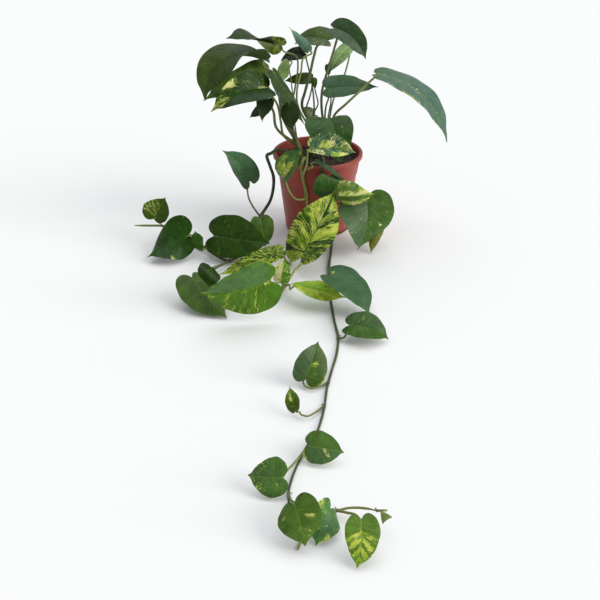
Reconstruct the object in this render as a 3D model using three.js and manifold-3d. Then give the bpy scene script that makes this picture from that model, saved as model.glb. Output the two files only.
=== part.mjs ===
// Potted pothos (Epipremnum aureum) in a plastic nursery pot.
// Millimetres, +Z up, +Y to the back. The origin is the centre of the pot's flat underside.
//
// The pot stands on its flat base. Three trailing stems come over the rim, run down the
// outside of the pot and lie along the surface that it stands on; three short crown stems
// rise from the soil and carry the upper leaves. Every blade is a solid of its own, set
// 0.3 mm or more clear of the end of its petiole, and each petiole is one piece with its stem.

import * as THREE from 'three';
import { mergeVertices } from 'three/addons/utils/BufferGeometryUtils.js';
import Module from 'manifold-3d';

const wasm = await Module();
wasm.setup();

// ---- pot ------------------------------------------------------------------------------
const POT_HEIGHT = 118;        // base to the top of the rim
const RIM_RADIUS = 65;         // outside of the lip, a 13 cm nursery pot
const LIP_HEIGHT = 7;          // the thick band round the mouth
const COLLAR_TOP_RADIUS = 61.5; // just under the lip
const COLLAR_FOOT_RADIUS = 58; // at the step below the collar
const COLLAR_FOOT_Z = 88;
const BODY_TOP_RADIUS = 57;    // just below the step
const BASE_RADIUS = 46.5;
const WALL = 1.6;
const FLOOR = 2.2;             // thickness of the pot's bottom
const POT_SIDES = 48;
const DRAIN_HOLES = 8;
const DRAIN_RADIUS = 4.2;
const DRAIN_CIRCLE = 33;

// ---- soil -----------------------------------------------------------------------------
const SOIL_TOP = 106;          // level at the wall, 12 mm under the rim
const SOIL_CROWN = 3;          // how much higher the middle stands
const FIT_GAP = 0.35;          // between pieces that touch

// ---- plant ----------------------------------------------------------------------------
const LEAF_THICKNESS = 0.8;
const STEM_SIDES = 7;
const PETIOLE_SIDES = 5;
const STEM_STEP = 15;          // length of one stretch of stem between sections
const PETIOLE_STEP = 15;

// Outline of half a blade, from the sinus round the lobe to the tip:
// x in half widths, y in blade lengths.
const HALF_OUTLINE = [
  [0, 0], [0.07, -0.075], [0.22, -0.150], [0.42, -0.175], [0.64, -0.135], [0.84, -0.035],
  [0.965, 0.10], [1.0, 0.25], [0.955, 0.41], [0.83, 0.56], [0.64, 0.70], [0.42, 0.815],
  [0.22, 0.90], [0.09, 0.955], [0, 1.0],
];
// Where the vein that reaches the margin at u leaves the midrib.
const VEIN_FOOT = [[0, 0], [0.10, 0.015], [0.2, 0.04], [0.32, 0.10], [0.45, 0.22], [0.6, 0.40], [0.75, 0.60], [0.88, 0.80], [0.96, 0.93], [1, 1]];
const MARGIN_ROWS = [0, 0.13, 0.29, 0.46, 0.64, 0.83, 1];
const VEIN_COLUMNS = [0, 0.5, 1];

// Base and tip are the ends of the midrib's chord; normal is the way the upper side faces.
// Bend arches the midrib towards the normal turned by arch, twist turns the blade about the
// midrib from base to tip, fold raises both halves (degrees) and curl turns the margins down.
// Lobes says how far the two lobes at the base reach behind the petiole, as a share of the outline's.
const LEAVES = [
  // name, base, tip, normal, width/length, bend, arch, twist, fold, asymmetry, curl, lobes
  ['leaf_01', [22.9, 25, 286.6], [64.7, 5, 250.6], [0.084, -0.826, 0.557], 0.592, 81.1, -23.9, 20.9, 23.4, 0.024, 0.25, 1],
  ['leaf_02', [12.3, 45, 266.2], [-33.1, 85, 250.3], [-0.464, -0.181, 0.867], 0.673, 63.7, -4.8, -14.1, 13.7, 0.004, 0.25, 0.75],
  ['leaf_03', [-14.4, 5, 262.8], [-40.5, 25, 287.7], [0.163, -0.678, 0.717], 0.347, 18.4, 46.4, 83.3, -8.6, -0.071, 0.25, 0.55],
  ['leaf_04', [-20.3, 45, 247.3], [-53.5, 55, 233], [-0.462, -0.411, 0.786], 0.687, 65.3, -14, 9.8, 15.8, -0.08, 0.25, 0.7],
  ['leaf_05', [-52.7, 10, 266.6], [-123, -10, 281.6], [0.169, 0.139, 0.976], 0.729, 26.9, 28.1, -76.9, 14.7, 0.349, 0.25, 0.45],
  ['leaf_06', [-78.3, 5, 249.3], [-156.6, -25, 202.9], [-0.327, -0.44, 0.836], 0.709, 121.5, 49.9, -83.1, 20.6, -0.2, 0.25, 0.5],
  ['leaf_07', [27.2, -668.8, 30.7], [23, -696.5, 3.9], [0.019, -0.696, 0.718], 0.772, 39.9, -22.9, -4.8, 5, -0.059, 0.25, 1],
  ['leaf_08', [-71.4, 35, 223.5], [-159.8, -5, 194.6], [0.162, -0.788, 0.594], 0.329, 89.1, -9.4, -16.6, 26.8, 0.172, 0.25, 0.5],
  ['leaf_09', [-69.3, -35, 221.2], [-143, -70, 200.3], [0.119, -0.682, 0.722], 0.55, 63.3, 14.5, -7.8, 21.9, 0.039, 0.25, 0.35],
  ['leaf_10', [-61.3, -20, 237.5], [-20.6, -35, 171.3], [0.665, -0.528, 0.528], 0.372, 0.9, 0, 25.8, 10.3, 0.301, 0.25, 0.45],
  ['leaf_11', [-69.9, -15, 198.6], [-78.1, -25, 169.8], [0.636, -0.767, 0.084], 0.741, 67.6, 49.1, -91, 4.7, 0.183, 0.25, 0.8],
  ['leaf_12', [-69.6, 15, 183.3], [-97.2, 5, 166.1], [0.161, -0.943, 0.29], 0.526, 45, 9.6, 16.2, 20.5, 0.016, 0.25, 0.6],
  ['leaf_13', [-40.1, -50, 202.2], [-36.4, -55, 169.2], [0.01, -0.989, 0.151], 0.79, 36.9, 15, -75.7, 7.1, -0.035, 0.25, 0.7],
  ['leaf_14', [-43, 30, 238.6], [-51.2, 28, 211.2], [-0.498, -0.841, 0.21], 0.776, 24.1, 18.5, -68.1, 14.2, 0.039, 0.25, 0.6],
  ['leaf_15', [-9.5, 55, 207.9], [-48.3, 45, 207.1], [0.22, -0.886, 0.407], 0.42, 33.7, 6.2, 17.8, 10.8, 0.056, 0.25, 0.45],
  ['leaf_16', [-5.2, 30, 215.5], [-4.1, 25, 201.3], [-0.134, -0.937, 0.322], 0.562, 65.8, -0.7, 38.9, -2.1, 0.079, 0.25, 0.6],
  ['leaf_17', [-6.4, 50, 157.1], [-22.3, 42, 169.5], [0.493, -0.867, 0.074], 0.682, 0.7, 0, -23.6, 12.4, -0.11, 0.25, 0.8],
  ['leaf_18', [12.5, -15, 214.3], [81.1, -10, 214.9], [0.027, -0.47, 0.882], 0.575, 27, 22.6, -20.2, 9.9, -0.088, 0.25, 0.6],
  ['leaf_19', [42.9, 50, 254.6], [17.7, 40, 222.1], [-0.269, -0.842, 0.467], 0.502, 35.1, 20.2, 11.2, 12.7, -0.014, 0.25, 0.6],
  ['leaf_20', [13.9, 34, 233.1], [15.6, 32, 218.6], [-0.519, -0.853, 0.057], 0.73, 14.2, -4.4, -30.6, 12, 0.067, 0.25, 0.6],
  ['leaf_21', [80.5, -20, 235.4], [174.8, -60, 156.3], [0.566, -0.23, 0.791], 0.556, 69, -19.1, 13.8, 8.1, -0.073, 0.25, 0.3],
  ['leaf_22', [14.6, -52, 182.9], [28.5, -90, 135.4], [-0.006, -0.781, 0.624], 0.869, 116.1, -7.1, 23.9, 14.3, 0.197, 0.25, 0.8],
  ['leaf_23', [-10.1, -104, 160.3], [47.3, -102, 153.5], [0.113, -0.648, 0.753], 0.688, 26.9, -7.1, 42.2, 21.8, -0.194, 0.25, 0.6],
  ['leaf_24', [47, -651.1, 24.4], [47.5, -657.7, 16.5], [-0.804, -0.483, 0.346], 1.235, 50.5, 39.6, 32, -35, -0.333, 0.25, 0.6],
  ['leaf_25', [-50.5, -85, 115.1], [-23.6, -72, 144.3], [-0.095, -0.874, 0.476], 0.625, 106.3, -13.5, 39.1, 10.1, -0.031, 0.25, 0.7],
  ['leaf_26', [-2.8, -76, 129.7], [35, -73, 103.1], [0.557, -0.353, 0.752], 0.305, 0.9, 6.6, 36.4, 24.7, -0.078, 0.25, 0.5],
  ['leaf_27', [14.2, -78, 106.3], [25.9, -72, 70.7], [0.021, -0.987, -0.16], 1.166, 59.7, 18.2, 61.8, 1.3, 0.02, 0.25, 1],
  ['leaf_28', [25.4, -103, 91.4], [75.3, -101, 93.6], [0.023, -0.938, 0.345], 0.717, 65.5, 6.2, -35.7, -28.1, -0.158, 0.25, 0.7],
  ['leaf_29', [66.9, -84, 75.9], [56.4, -104, 12], [0.548, -0.819, 0.167], 1.169, 62.3, 1.1, -55.6, 4.8, 0.009, 0.25, 1],
  ['leaf_30', [85.6, -60, 38.5], [74.7, -97.6, 2], [-0.019, -0.693, 0.72], 0.404, 46.6, 1.4, -13.4, -12.2, -0.066, 0.25, 0.8],
  ['leaf_31', [-23, -151.5, 24], [21.4, -91, 93.3], [0.034, -0.763, 0.645], 0.655, 8.9, 37.4, 80.6, 13.4, -0.047, 0.25, 0.65],
  ['leaf_32', [-99.1, -10, 77], [-134.4, -25, 126.9], [0.513, -0.852, 0.107], 0.599, 49.3, 39.5, -6.1, 19.9, -0.001, 0.25, 1],
  ['leaf_33', [-230.7, -75.4, 46.5], [-216.1, -61.4, 70.7], [-0.02, -0.861, 0.509], 1.208, 25.6, -2.2, -31.7, 6.2, -0.133, 0.25, 1],
  ['leaf_34', [-182.1, -108.3, 33.4], [-236, -126.1, 10.6], [-0.158, -0.56, 0.813], 1.002, 19.2, 31.2, 71.2, -9.8, 0.146, 0.25, 1],
  ['leaf_35', [-162.1, -126.9, 22.1], [-170.6, -110.1, 42.1], [-0.534, -0.746, 0.398], 0.806, 40.5, -13, 75, 5.1, 0.078, 0.25, 0.7],
  ['leaf_36', [-142.1, -112.8, 35.5], [-69.2, -118.4, 27.5], [-0.005, -0.838, 0.545], 0.828, 33.8, 7.5, 4.3, 8.9, -0.079, 0.25, 1],
  ['leaf_37', [-80.9, -76.8, 43.4], [-75, -89.4, 8.7], [0.042, -0.937, 0.348], 0.929, 25, -2.1, 1.9, 11.9, -0.001, 0.25, 1],
  ['leaf_38', [-52.3, -161.4, 36.7], [-133.5, -184.7, 13.4], [0.111, -0.869, 0.482], 0.286, 4.4, 6.3, -63.2, 9.3, 0, 0.25, 0.5],
  ['leaf_39', [-65.8, -280, 54.8], [-144.5, -289.3, 44.5], [0.141, -0.969, -0.201], 0.922, 34.3, -6.2, -20.6, 13.7, -0.042, 0.25, 1],
  ['leaf_40', [-162.7, -230.4, 33.5], [-118, -278.2, 3.6], [0.124, -0.44, 0.889], 0.789, 26.1, 36.6, 15, -16.5, -0.054, 0.1, 1],
  ['leaf_41', [-136.6, -240.6, 53.5], [-140.4, -256.3, 34.8], [0.426, -0.735, 0.528], 1.214, 75.5, -2.6, 38.3, -5.6, 0.102, 0.25, 0.8],
  ['leaf_42', [-50.2, -220.6, 22], [-45.6, -206.2, 47], [-0.198, -0.833, 0.517], 0.864, 29.4, -0.1, 50.5, 11.6, 0.005, 0.25, 0.6],
  ['leaf_43', [-31.2, -239.5, 27.4], [31.4, -251.9, 17], [0.015, -0.596, 0.803], 0.472, 6.8, 9.8, 105, 13, 0.003, 0.25, 0.45],
  ['leaf_44', [15.7, -243.9, 42.8], [60, -276.6, 6.5], [0.473, -0.284, 0.834], 0.857, 49, -14.1, 0, 13.9, -0.061, 0.25, 1],
  ['leaf_45', [34.9, -320.8, 17.8], [79.2, -332, 5.5], [0.137, -0.441, 0.887], 0.823, 63.8, -9.2, 7.5, 11.8, -0.053, 0.25, 1],
  ['leaf_46', [-19.1, -424.8, 13.1], [-5.7, -397.1, 41.8], [0.372, -0.748, 0.549], 0.944, 27.5, -4.4, 14.7, 12, 0.048, 0.25, 1],
  ['leaf_47', [-30.8, -481.6, 10.1], [-36.5, -464.2, 28.1], [-0.103, -0.732, 0.674], 0.667, 15.9, -21.7, 94.2, 12.9, -0.007, 0.25, 0.55],
  ['leaf_48', [-15.9, -550.7, 18.4], [17, -554.9, 14], [-0.021, -0.796, 0.605], 0.974, 30.5, -3.7, 0, 3.9, 0.005, 0.25, 1],
  ['leaf_49', [-42.8, -597.9, 18.9], [-74, -596.4, 20.5], [-0.022, -0.901, 0.432], 1.262, 26.8, -17.3, -8.9, 15.5, 0.043, 0.25, 1],
  ['leaf_50', [-30.5, -654.2, 35.8], [-21.1, -677.9, 11.2], [-0.088, -0.733, 0.674], 1.129, 47.6, -14.4, -35.9, -1.6, -0.009, 0.25, 1],
  ['leaf_51', [1.2, -644.5, 21.7], [-11.6, -667.8, 2.2], [0.261, -0.701, 0.664], 0.934, 52.8, 18.9, 53.4, 4, -0.023, 0.25, 1],
];

const STEMS = [
  { name: 'vine_left', radius: 2.3,
    path: [[-30, -12, 80], [-34, -13, 104], [-45, -15, 122], [-58, -17, 126], [-67.5, -19, 121], [-72.7, -20, 119.1], [-68.8, -17.8, 101.6], [-64.4, -5.2, 79.6], [-64.7, -27, 68.3], [-69.1, -32, 53.2], [-80.8, -40, 36.2], [-89.4, -50, 23.3], [-96.7, -56.9, 9], [-103, -78.9, 4.2], [-112.7, -109.8, 3.1], [-124.3, -124.3, 3.1], [-141.9, -112.5, 4.5], [-160.7, -88.7, 6], [-180.1, -64.8, 8], [-204, -43, 12], [-224.9, -46.3, 20], [-243.9, -53.5, 24], [-263.4, -57.5, 26]],
    petioles: [
      ['leaf_32', 1.35, [[-83.2, -42.5, 32.7], [-95.5, -30, 46], [-101.9, -14, 54.9], [-102.4, -3.4, 73], [-99.4, -9, 76]]],
      ['leaf_37', 1.3, [[-80.7, -39.9, 36.4], [-81.6, -69.9, 42.5], [-81.1, -75.8, 44.2]]],
      ['leaf_36', 1.5, [[-103.1, -79.2, 4.2], [-121.2, -101.8, 14], [-145.4, -106, 31.5], [-143, -111.8, 35]]],
      ['leaf_41', 1.2, [[-124.2, -124.3, 3.1], [-133, -152.9, 12], [-137.1, -193, 30], [-141.3, -237.2, 49.9], [-137.2, -239.4, 53.3]]],
      ['leaf_34', 1.4, [[-160.9, -88.5, 6], [-174.2, -78.4, 13], [-178.2, -101, 31.9], [-181.2, -106.6, 33]]],
      ['leaf_35', 1.1, [[-153.5, -98.3, 5.4], [-155.8, -124.3, 21.4], [-161.1, -127, 21.3]]],
      ['leaf_33', 1.1, [[-224.7, -46.3, 20], [-234, -32.5, 20], [-232.8, -70.2, 42.6], [-231.2, -75.3, 45.3]]],
      ['leaf_40', 1.5, [[-123.1, -124.1, 3], [-138.9, -149.8, 6], [-153.1, -172.9, 8], [-166.4, -224.4, 28.7], [-163.5, -229.1, 32.4]]],
    ] },
  { name: 'vine_middle', radius: 2,
    path: [[-14, -34, 78], [-16, -36, 104], [-19, -46, 124], [-22, -60, 126], [-23.5, -68, 121], [-24.3, -63.3, 117.9], [-21.5, -60.3, 100.4], [-17.2, -55.9, 77.4], [-15.6, -53.4, 54.8], [-15.5, -50.5, 31.5], [-15.4, -48.6, 8.2], [-21.3, -76.5, 3], [-31.3, -105.8, 2.6], [-40.8, -134.8, 2.6], [-45.9, -165.5, 2.6], [-46.8, -197.8, 2.8], [-50.4, -219, 3.2]],
    petioles: [
      ['leaf_23', 1.3, [[-21.4, -60.3, 100.1], [-19.5, -80, 118.7], [-16.2, -95, 136.1], [-14.9, -101.4, 154], [-11.3, -103.8, 160]]],
      ['leaf_26', 1.1, [[-22.8, -61.4, 108], [-14.7, -76, 120], [-7.8, -77, 124], [-10.8, -76.1, 127.8], [-4.1, -76.1, 130]]],
      ['leaf_25', 1.25, [[-16.8, -55.5, 74.1], [-21.5, -78, 75.5], [-31.2, -84, 78.8], [-39.4, -90, 91.1], [-44.1, -92, 104.5], [-46.8, -78.6, 111.2], [-50.2, -84.1, 114.1]]],
      ['leaf_38', 1.4, [[-40.8, -134.7, 2.6], [-46.4, -130.1, 9], [-46.8, -156.5, 32.5], [-51.1, -160.6, 36.2]]],
      ['leaf_31', 1.7, [[-46.8, -197.8, 2.8], [-39, -183.6, 8], [-31.7, -168.7, 13], [-21.8, -151.6, 15.4], [-23.2, -151.9, 22.8]]],
      ['leaf_42', 1.3, [[-46.8, -197.8, 2.8], [-46.5, -212, 12], [-46.6, -216.7, 17.4], [-50.1, -220.6, 20.8]]],
      ['leaf_43', 1.4, [[-46.8, -197.8, 2.8], [-40.1, -203.9, 9], [-37.6, -239.9, 22], [-32.4, -239.3, 27]]],
      ['leaf_39', 1.6, [[-46.8, -197.8, 2.8], [-54.2, -219.6, 12], [-61.2, -240, 26], [-63.5, -271.8, 55.8], [-65, -278.9, 55]]],
    ] },
  { name: 'vine_long', radius: 2.1,
    path: [[4, -34, 78], [5, -36, 104], [6, -46, 124], [6.5, -60.5, 127.5], [6.5, -69.8, 121.5], [4.1, -68.1, 115.4], [5.8, -61.8, 95], [9.8, -57.2, 71.9], [14.5, -53.1, 46.8], [18.6, -48.4, 21], [19.9, -62.3, 5.2], [18.3, -94.7, 3], [15.2, -128.9, 2.5], [13.6, -162.5, 2.5], [13, -199.9, 2.5], [14.1, -240.2, 2.5], [16.6, -282.9, 2.5], [20, -325.2, 2.5], [17, -360.8, 2.5], [10.1, -396.4, 2.5], [4.1, -430, 2.5], [0.7, -461.8, 2.5], [-3, -485.3, 2.5], [-8.7, -509.5, 2.5], [-18.6, -531.2, 2.5], [-27.1, -556.3, 2.5], [-33.8, -581.7, 2.5], [-36.5, -602.1, 2.6], [-34, -620.9, 3.2], [-23.8, -630.6, 4], [-9.2, -631.1, 4.5], [5.4, -629.7, 6], [19.9, -629.6, 10], [34.2, -633.6, 13], [43.6, -640, 16]],
    petioles: [
      ['leaf_27', 1.3, [[7.4, -59.6, 84.7], [10, -64, 92.9], [11.1, -71.8, 106.9], [13.8, -77.1, 107.2]]],
      ['leaf_28', 1.3, [[13.3, -54.2, 53.6], [19.2, -76, 69.3], [25.5, -88, 83.6], [23.9, -94.8, 90.6], [25.3, -100.9, 91.3]]],
      ['leaf_29', 1.5, [[13.5, -54, 52.2], [30.8, -66, 64.9], [51.6, -70, 72.8], [65.4, -75.6, 75.4], [66.6, -82.7, 76.3]]],
      ['leaf_30', 1.3, [[19.5, -52, 13.3], [32.1, -60, 15.3], [43.8, -54, 20.4], [64.3, -46, 26.2], [87.1, -52.8, 34.4], [86, -58.4, 37.5]]],
      ['leaf_44', 1.5, [[13.6, -162.2, 2.5], [15.7, -181.8, 7], [10, -240.7, 37.3], [14.5, -243.2, 42.2]]],
      ['leaf_45', 1.3, [[20, -325.6, 2.5], [27, -329.7, 6], [32.3, -317.5, 10.6], [34.1, -320.2, 16.8]]],
      ['leaf_46', 1.2, [[6.2, -417.6, 2.5], [-3.6, -427.8, 3.5], [-14.7, -433.5, 5], [-20.7, -428.1, 5], [-22.2, -421.8, 6], [-19.9, -423.6, 11.3]]],
      ['leaf_47', 1.1, [[0.7, -461.6, 2.5], [-8.7, -475.7, 4], [-18.3, -484.5, 5], [-25.6, -481.7, 6], [-25.3, -479.4, 6.6], [-30.2, -482.1, 9.1]]],
      ['leaf_48', 1.3, [[-11.5, -516.4, 2.5], [-14.6, -531.8, 9], [-17, -545.1, 14.4], [-16.9, -549.9, 18]]],
      ['leaf_49', 1.3, [[-22.5, -541.8, 2.5], [-30.5, -563, 8], [-38.1, -581.6, 13], [-41.1, -592, 15.6], [-41.7, -597.4, 18.7]]],
      ['leaf_50', 1.4, [[-36.5, -601.8, 2.6], [-33.9, -624, 14], [-28.3, -648.6, 32], [-30.5, -652.8, 35.8]]],
      ['leaf_51', 1.2, [[5.6, -629.6, 6], [3.4, -634.8, 9], [-2.3, -639.3, 19.1], [1.2, -643.1, 21.6]]],
      ['leaf_07', 1.3, [[8.7, -629.5, 6.8], [16.8, -638.1, 12], [23.4, -645.9, 17], [27.2, -663.3, 26.3], [27.2, -667.4, 30.6]]],
      ['leaf_24', 1, [[43.6, -640, 16], [51.5, -646.5, 22.5], [48.1, -649.8, 24.4]]],
    ] },
  { name: 'crown_stem_left', radius: 4.2,
    path: [[-26, 2, 80], [-25, 0, 104], [-27, -4, 122], [-31, -8, 134]],
    petioles: [
      ['leaf_09', 1.7, [[-29.6, -6.7, 130.2], [-48.3, -18, 146.7], [-52.8, -25, 172.5], [-57.2, -32, 197.6], [-68.8, -29.2, 214.8], [-68.4, -34.2, 220.9]]],
      ['leaf_11', 1.4, [[-29.6, -6.7, 130.2], [-58.2, -12, 156.4], [-62.1, -12, 179.7], [-69.6, -8.8, 195.3], [-69.6, -13.5, 198.6]]],
      ['leaf_12', 1.3, [[-27.5, -4.6, 124.2], [-60, 2, 151.6], [-64.2, 12, 171.9], [-70.8, 21.8, 182.1], [-68.9, 16, 183.5]]],
      ['leaf_06', 1.9, [[-31, -8, 134], [-49.9, 8, 164.3], [-55.4, 14, 196], [-57.8, 10, 224.4], [-76.4, 1.9, 241.3], [-77.5, 4.6, 248.3]]],
      ['leaf_08', 1.6, [[-28.1, -5.3, 126.2], [-45.9, 22, 156.7], [-54.5, 36, 184.8], [-65.9, 42, 209.4], [-73, 41.3, 217.8], [-71.4, 36.2, 222.8]]],
      ['leaf_10', 1.6, [[-31, -8, 134], [-44, -8, 166.8], [-50.7, -10, 196.3], [-57.3, -14, 220.2], [-69.2, -16.8, 238.4], [-62.5, -19.5, 238.1]]],
      ['leaf_05', 1.4, [[-31, -8, 134], [-38.5, 12, 171.9], [-32.7, 18, 204.9], [-28.5, 22, 235.2], [-31.2, 19, 250], [-48.7, 5.9, 260.3], [-51.6, 10, 266]]],
      ['leaf_14', 1.1, [[-28.1, -5.3, 126.2], [-34.3, 20, 160.3], [-35.7, 30, 186.7], [-38.5, 36, 211.2], [-40.6, 36, 228.4], [-36.9, 32.9, 238.3], [-42.3, 30.4, 239.5]]],
      ['leaf_13', 1.3, [[-30.2, -7.3, 131.9], [-38.1, -40, 169], [-40, -42, 186.7], [-36.3, -44.2, 202.8], [-39.8, -49.1, 203.1]]],
    ] },
  { name: 'crown_stem_middle', radius: 4.6,
    path: [[-8, 4, 80], [-8, 3, 104], [-8, 2, 124], [-6, 1, 140], [-5, 2, 150]],
    petioles: [
      ['leaf_02', 2.1, [[-5, 2, 150], [-22.8, 8, 182], [-18.6, 14, 200.4], [-11.6, 20, 224.4], [-6, 26, 248.1], [-0.5, 32, 261.9], [16.8, 45.4, 258.5], [13.2, 45.7, 263]]],
      ['leaf_03', 1.5, [[-5.8, 1.1, 142], [-28.5, 0, 184.5], [-29.8, 0, 207.5], [-24.3, 2, 232.3], [-20.8, 4, 251.2], [-9.1, 8.1, 256.9], [-12.7, 6.9, 261.1]]],
      ['leaf_04', 1.3, [[-5.2, 1.8, 148], [-5.5, 26, 179.1], [-8.5, 34, 206], [-14.3, 40, 230.2], [-17.8, 48.7, 241.9], [-19.1, 45.3, 247]]],
      ['leaf_15', 1.3, [[-7.1, 1.4, 131.9], [-17, 20, 169.2], [-11.1, 44, 185.3], [-8.1, 62, 194.7], [-7.9, 62.9, 205.6], [-8.7, 56, 207.6]]],
      ['leaf_16', 1.1, [[-6.2, 1, 138.1], [-7, 18, 165.5], [0.2, 26, 179.1], [-3.4, 32, 194.9], [-6.3, 36.1, 212.6], [-5.3, 31.4, 215.7]]],
      ['leaf_17', 1.2, [[-8.1, 2.2, 120], [-3.7, 34, 146.6], [0.8, 46, 153.1], [-7.8, 55.9, 153.9], [-6.3, 51.5, 156.1]]],
      ['leaf_22', 1.7, [[-6.5, 1.1, 136.1], [-7.3, -14, 155.6], [3.6, -27, 167.4], [13.8, -47.6, 175.5], [14.4, -51, 181.8]]],
    ] },
  { name: 'crown_stem_right', radius: 4,
    path: [[14, 6, 80], [13, 5, 104], [12, 4, 122], [13, 4, 136]],
    petioles: [
      ['leaf_18', 1.4, [[12.8, 4, 134], [9.9, 2, 166.3], [11, -1, 184.8], [14.2, -4, 198.7], [8.3, -10.5, 208.5], [11.4, -14.5, 213.6]]],
      ['leaf_19', 1.3, [[12.8, 4, 134], [17.4, 14, 165.3], [23.4, 34, 185.5], [37.9, 52, 212.4], [44.6, 56, 237.3], [46.9, 57.3, 253.9], [43.8, 53.7, 252.8]]],
      ['leaf_20', 1.1, [[12.1, 3.9, 126], [14.7, 18, 161], [19, 32, 183.1], [17.5, 42, 203.6], [15.2, 43, 217.8], [18.2, 38.8, 235.2], [14.1, 34.6, 234.2]]],
      ['leaf_01', 1.9, [[13, 4, 136], [5.8, 14, 171.2], [5.6, 20, 198.6], [14.9, 16, 236.8], [22.7, 16, 264.6], [25.4, 20, 276], [20.9, 31.1, 280.5], [22.3, 26.2, 285.6]]],
      ['leaf_21', 1.8, [[12.3, 3.9, 128.1], [22, -14, 174.6], [37.4, -34, 198.2], [55.6, -40, 218.2], [70.7, -31, 230], [74.5, -19.1, 229.1], [79.3, -19.8, 235.3]]],
    ] },
];

// ---- helpers --------------------------------------------------------------------------
const rad = THREE.MathUtils.degToRad;

function toManifold(geometry) {
  const g = geometry.clone();
  for (const key of Object.keys(g.attributes)) if (key !== 'position') g.deleteAttribute(key);
  const m = mergeVertices(g, 1e-4);
  const index = m.index.array;
  const tri = [];
  for (let i = 0; i < index.length; i += 3) {
    if (index[i] !== index[i + 1] && index[i + 1] !== index[i + 2] && index[i] !== index[i + 2]) tri.push(index[i], index[i + 1], index[i + 2]);
  }
  return new wasm.Manifold(new wasm.Mesh({
    numProp: 3, vertProperties: new Float32Array(m.attributes.position.array), triVerts: new Uint32Array(tri),
  }));
}

function toGeometry(solid) {
  const mesh = solid.getMesh();
  const g = new THREE.BufferGeometry();
  const n = mesh.numProp, count = mesh.vertProperties.length / n;
  const pos = new Float32Array(count * 3);
  for (let i = 0; i < count; i++) for (let k = 0; k < 3; k++) pos[i * 3 + k] = mesh.vertProperties[i * n + k];
  g.setAttribute('position', new THREE.BufferAttribute(pos, 3));
  g.setIndex(Array.from(mesh.triVerts));
  g.computeVertexNormals();
  return g;
}

function lathe(profile, sides) {
  const g = new THREE.LatheGeometry(profile.map(([r, z]) => new THREE.Vector2(r, z)), sides);
  g.rotateX(Math.PI / 2);   // the lathe's own axis is Y
  return g;
}

const v3 = (p) => new THREE.Vector3(p[0], p[1], p[2]);

const curveThrough = (points) => new THREE.CatmullRomCurve3(points.map(v3), false, 'centripetal');
const sections = (curve, step, minSteps = 4) => Math.max(minSteps, Math.round(curve.getLength() / step));

function centreLine(points, step) {
  const curve = curveThrough(points);
  return curve.getSpacedPoints(sections(curve, step));
}

// the point of a stem's centre line nearest to p, where a petiole grows out of it
function nearestOn(line, p) {
  const target = v3(p), hit = new THREE.Vector3();
  let best = Infinity, found = line[0].clone();
  for (let i = 1; i < line.length; i++) {
    new THREE.Line3(line[i - 1], line[i]).closestPointToPoint(target, true, hit);
    if (hit.distanceTo(target) < best) { best = hit.distanceTo(target); found = hit.clone(); }
  }
  return found.toArray();
}

function tube(points, radius, sides, step) {
  const curve = curveThrough(points);
  const shape = new THREE.Shape(Array.from({ length: sides }, (_, i) => {
    const a = (2 * Math.PI * i) / sides;
    return new THREE.Vector2(radius * Math.cos(a), radius * Math.sin(a));
  }));
  return new THREE.ExtrudeGeometry(shape, { steps: sections(curve, step), bevelEnabled: false, extrudePath: curve });
}

// ---- leaf blades ----------------------------------------------------------------------
const outlineU = (() => {
  const d = [0];
  for (let i = 1; i < HALF_OUTLINE.length; i++) {
    const [a, b] = [HALF_OUTLINE[i - 1], HALF_OUTLINE[i]];
    d.push(d[i - 1] + Math.hypot((b[0] - a[0]) * 0.45, b[1] - a[1]));
  }
  return d.map((x) => x / d[d.length - 1]);
})();

function outlineAt(u) {
  const U = outlineU, P = HALF_OUTLINE, n = U.length;
  let i = 0;
  while (i < n - 2 && U[i + 1] <= u) i++;
  const slope = (j, k) => (j === 0 ? (P[1][k] - P[0][k]) / (U[1] - U[0])
    : j === n - 1 ? (P[n - 1][k] - P[n - 2][k]) / (U[n - 1] - U[n - 2])
      : (P[j + 1][k] - P[j - 1][k]) / (U[j + 1] - U[j - 1]));
  const h = U[i + 1] - U[i], s = (u - U[i]) / h, s2 = s * s, s3 = s2 * s;
  return [0, 1].map((k) => (2 * s3 - 3 * s2 + 1) * P[i][k] + (s3 - 2 * s2 + s) * h * slope(i, k)
    + (-2 * s3 + 3 * s2) * P[i + 1][k] + (s3 - s2) * h * slope(i + 1, k));
}

function veinFoot(u) {
  let i = 0;
  while (i < VEIN_FOOT.length - 2 && VEIN_FOOT[i + 1][0] <= u) i++;
  const [a, b] = [VEIN_FOOT[i], VEIN_FOOT[i + 1]];
  return a[1] + ((b[1] - a[1]) * (u - a[0])) / (b[0] - a[0]);
}

// leaf-plane point on the vein to margin position u, t of the way out
function flat(u, t, lobes) {
  const e = outlineAt(u), f = veinFoot(u), y = e[1] < 0 ? e[1] * lobes : e[1];
  return [e[0] * t, f * (1 - t) + y * t + 0.10 * t * (1 - t) * Math.min(1, 4.8 * u * (1 - u))];
}

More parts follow.
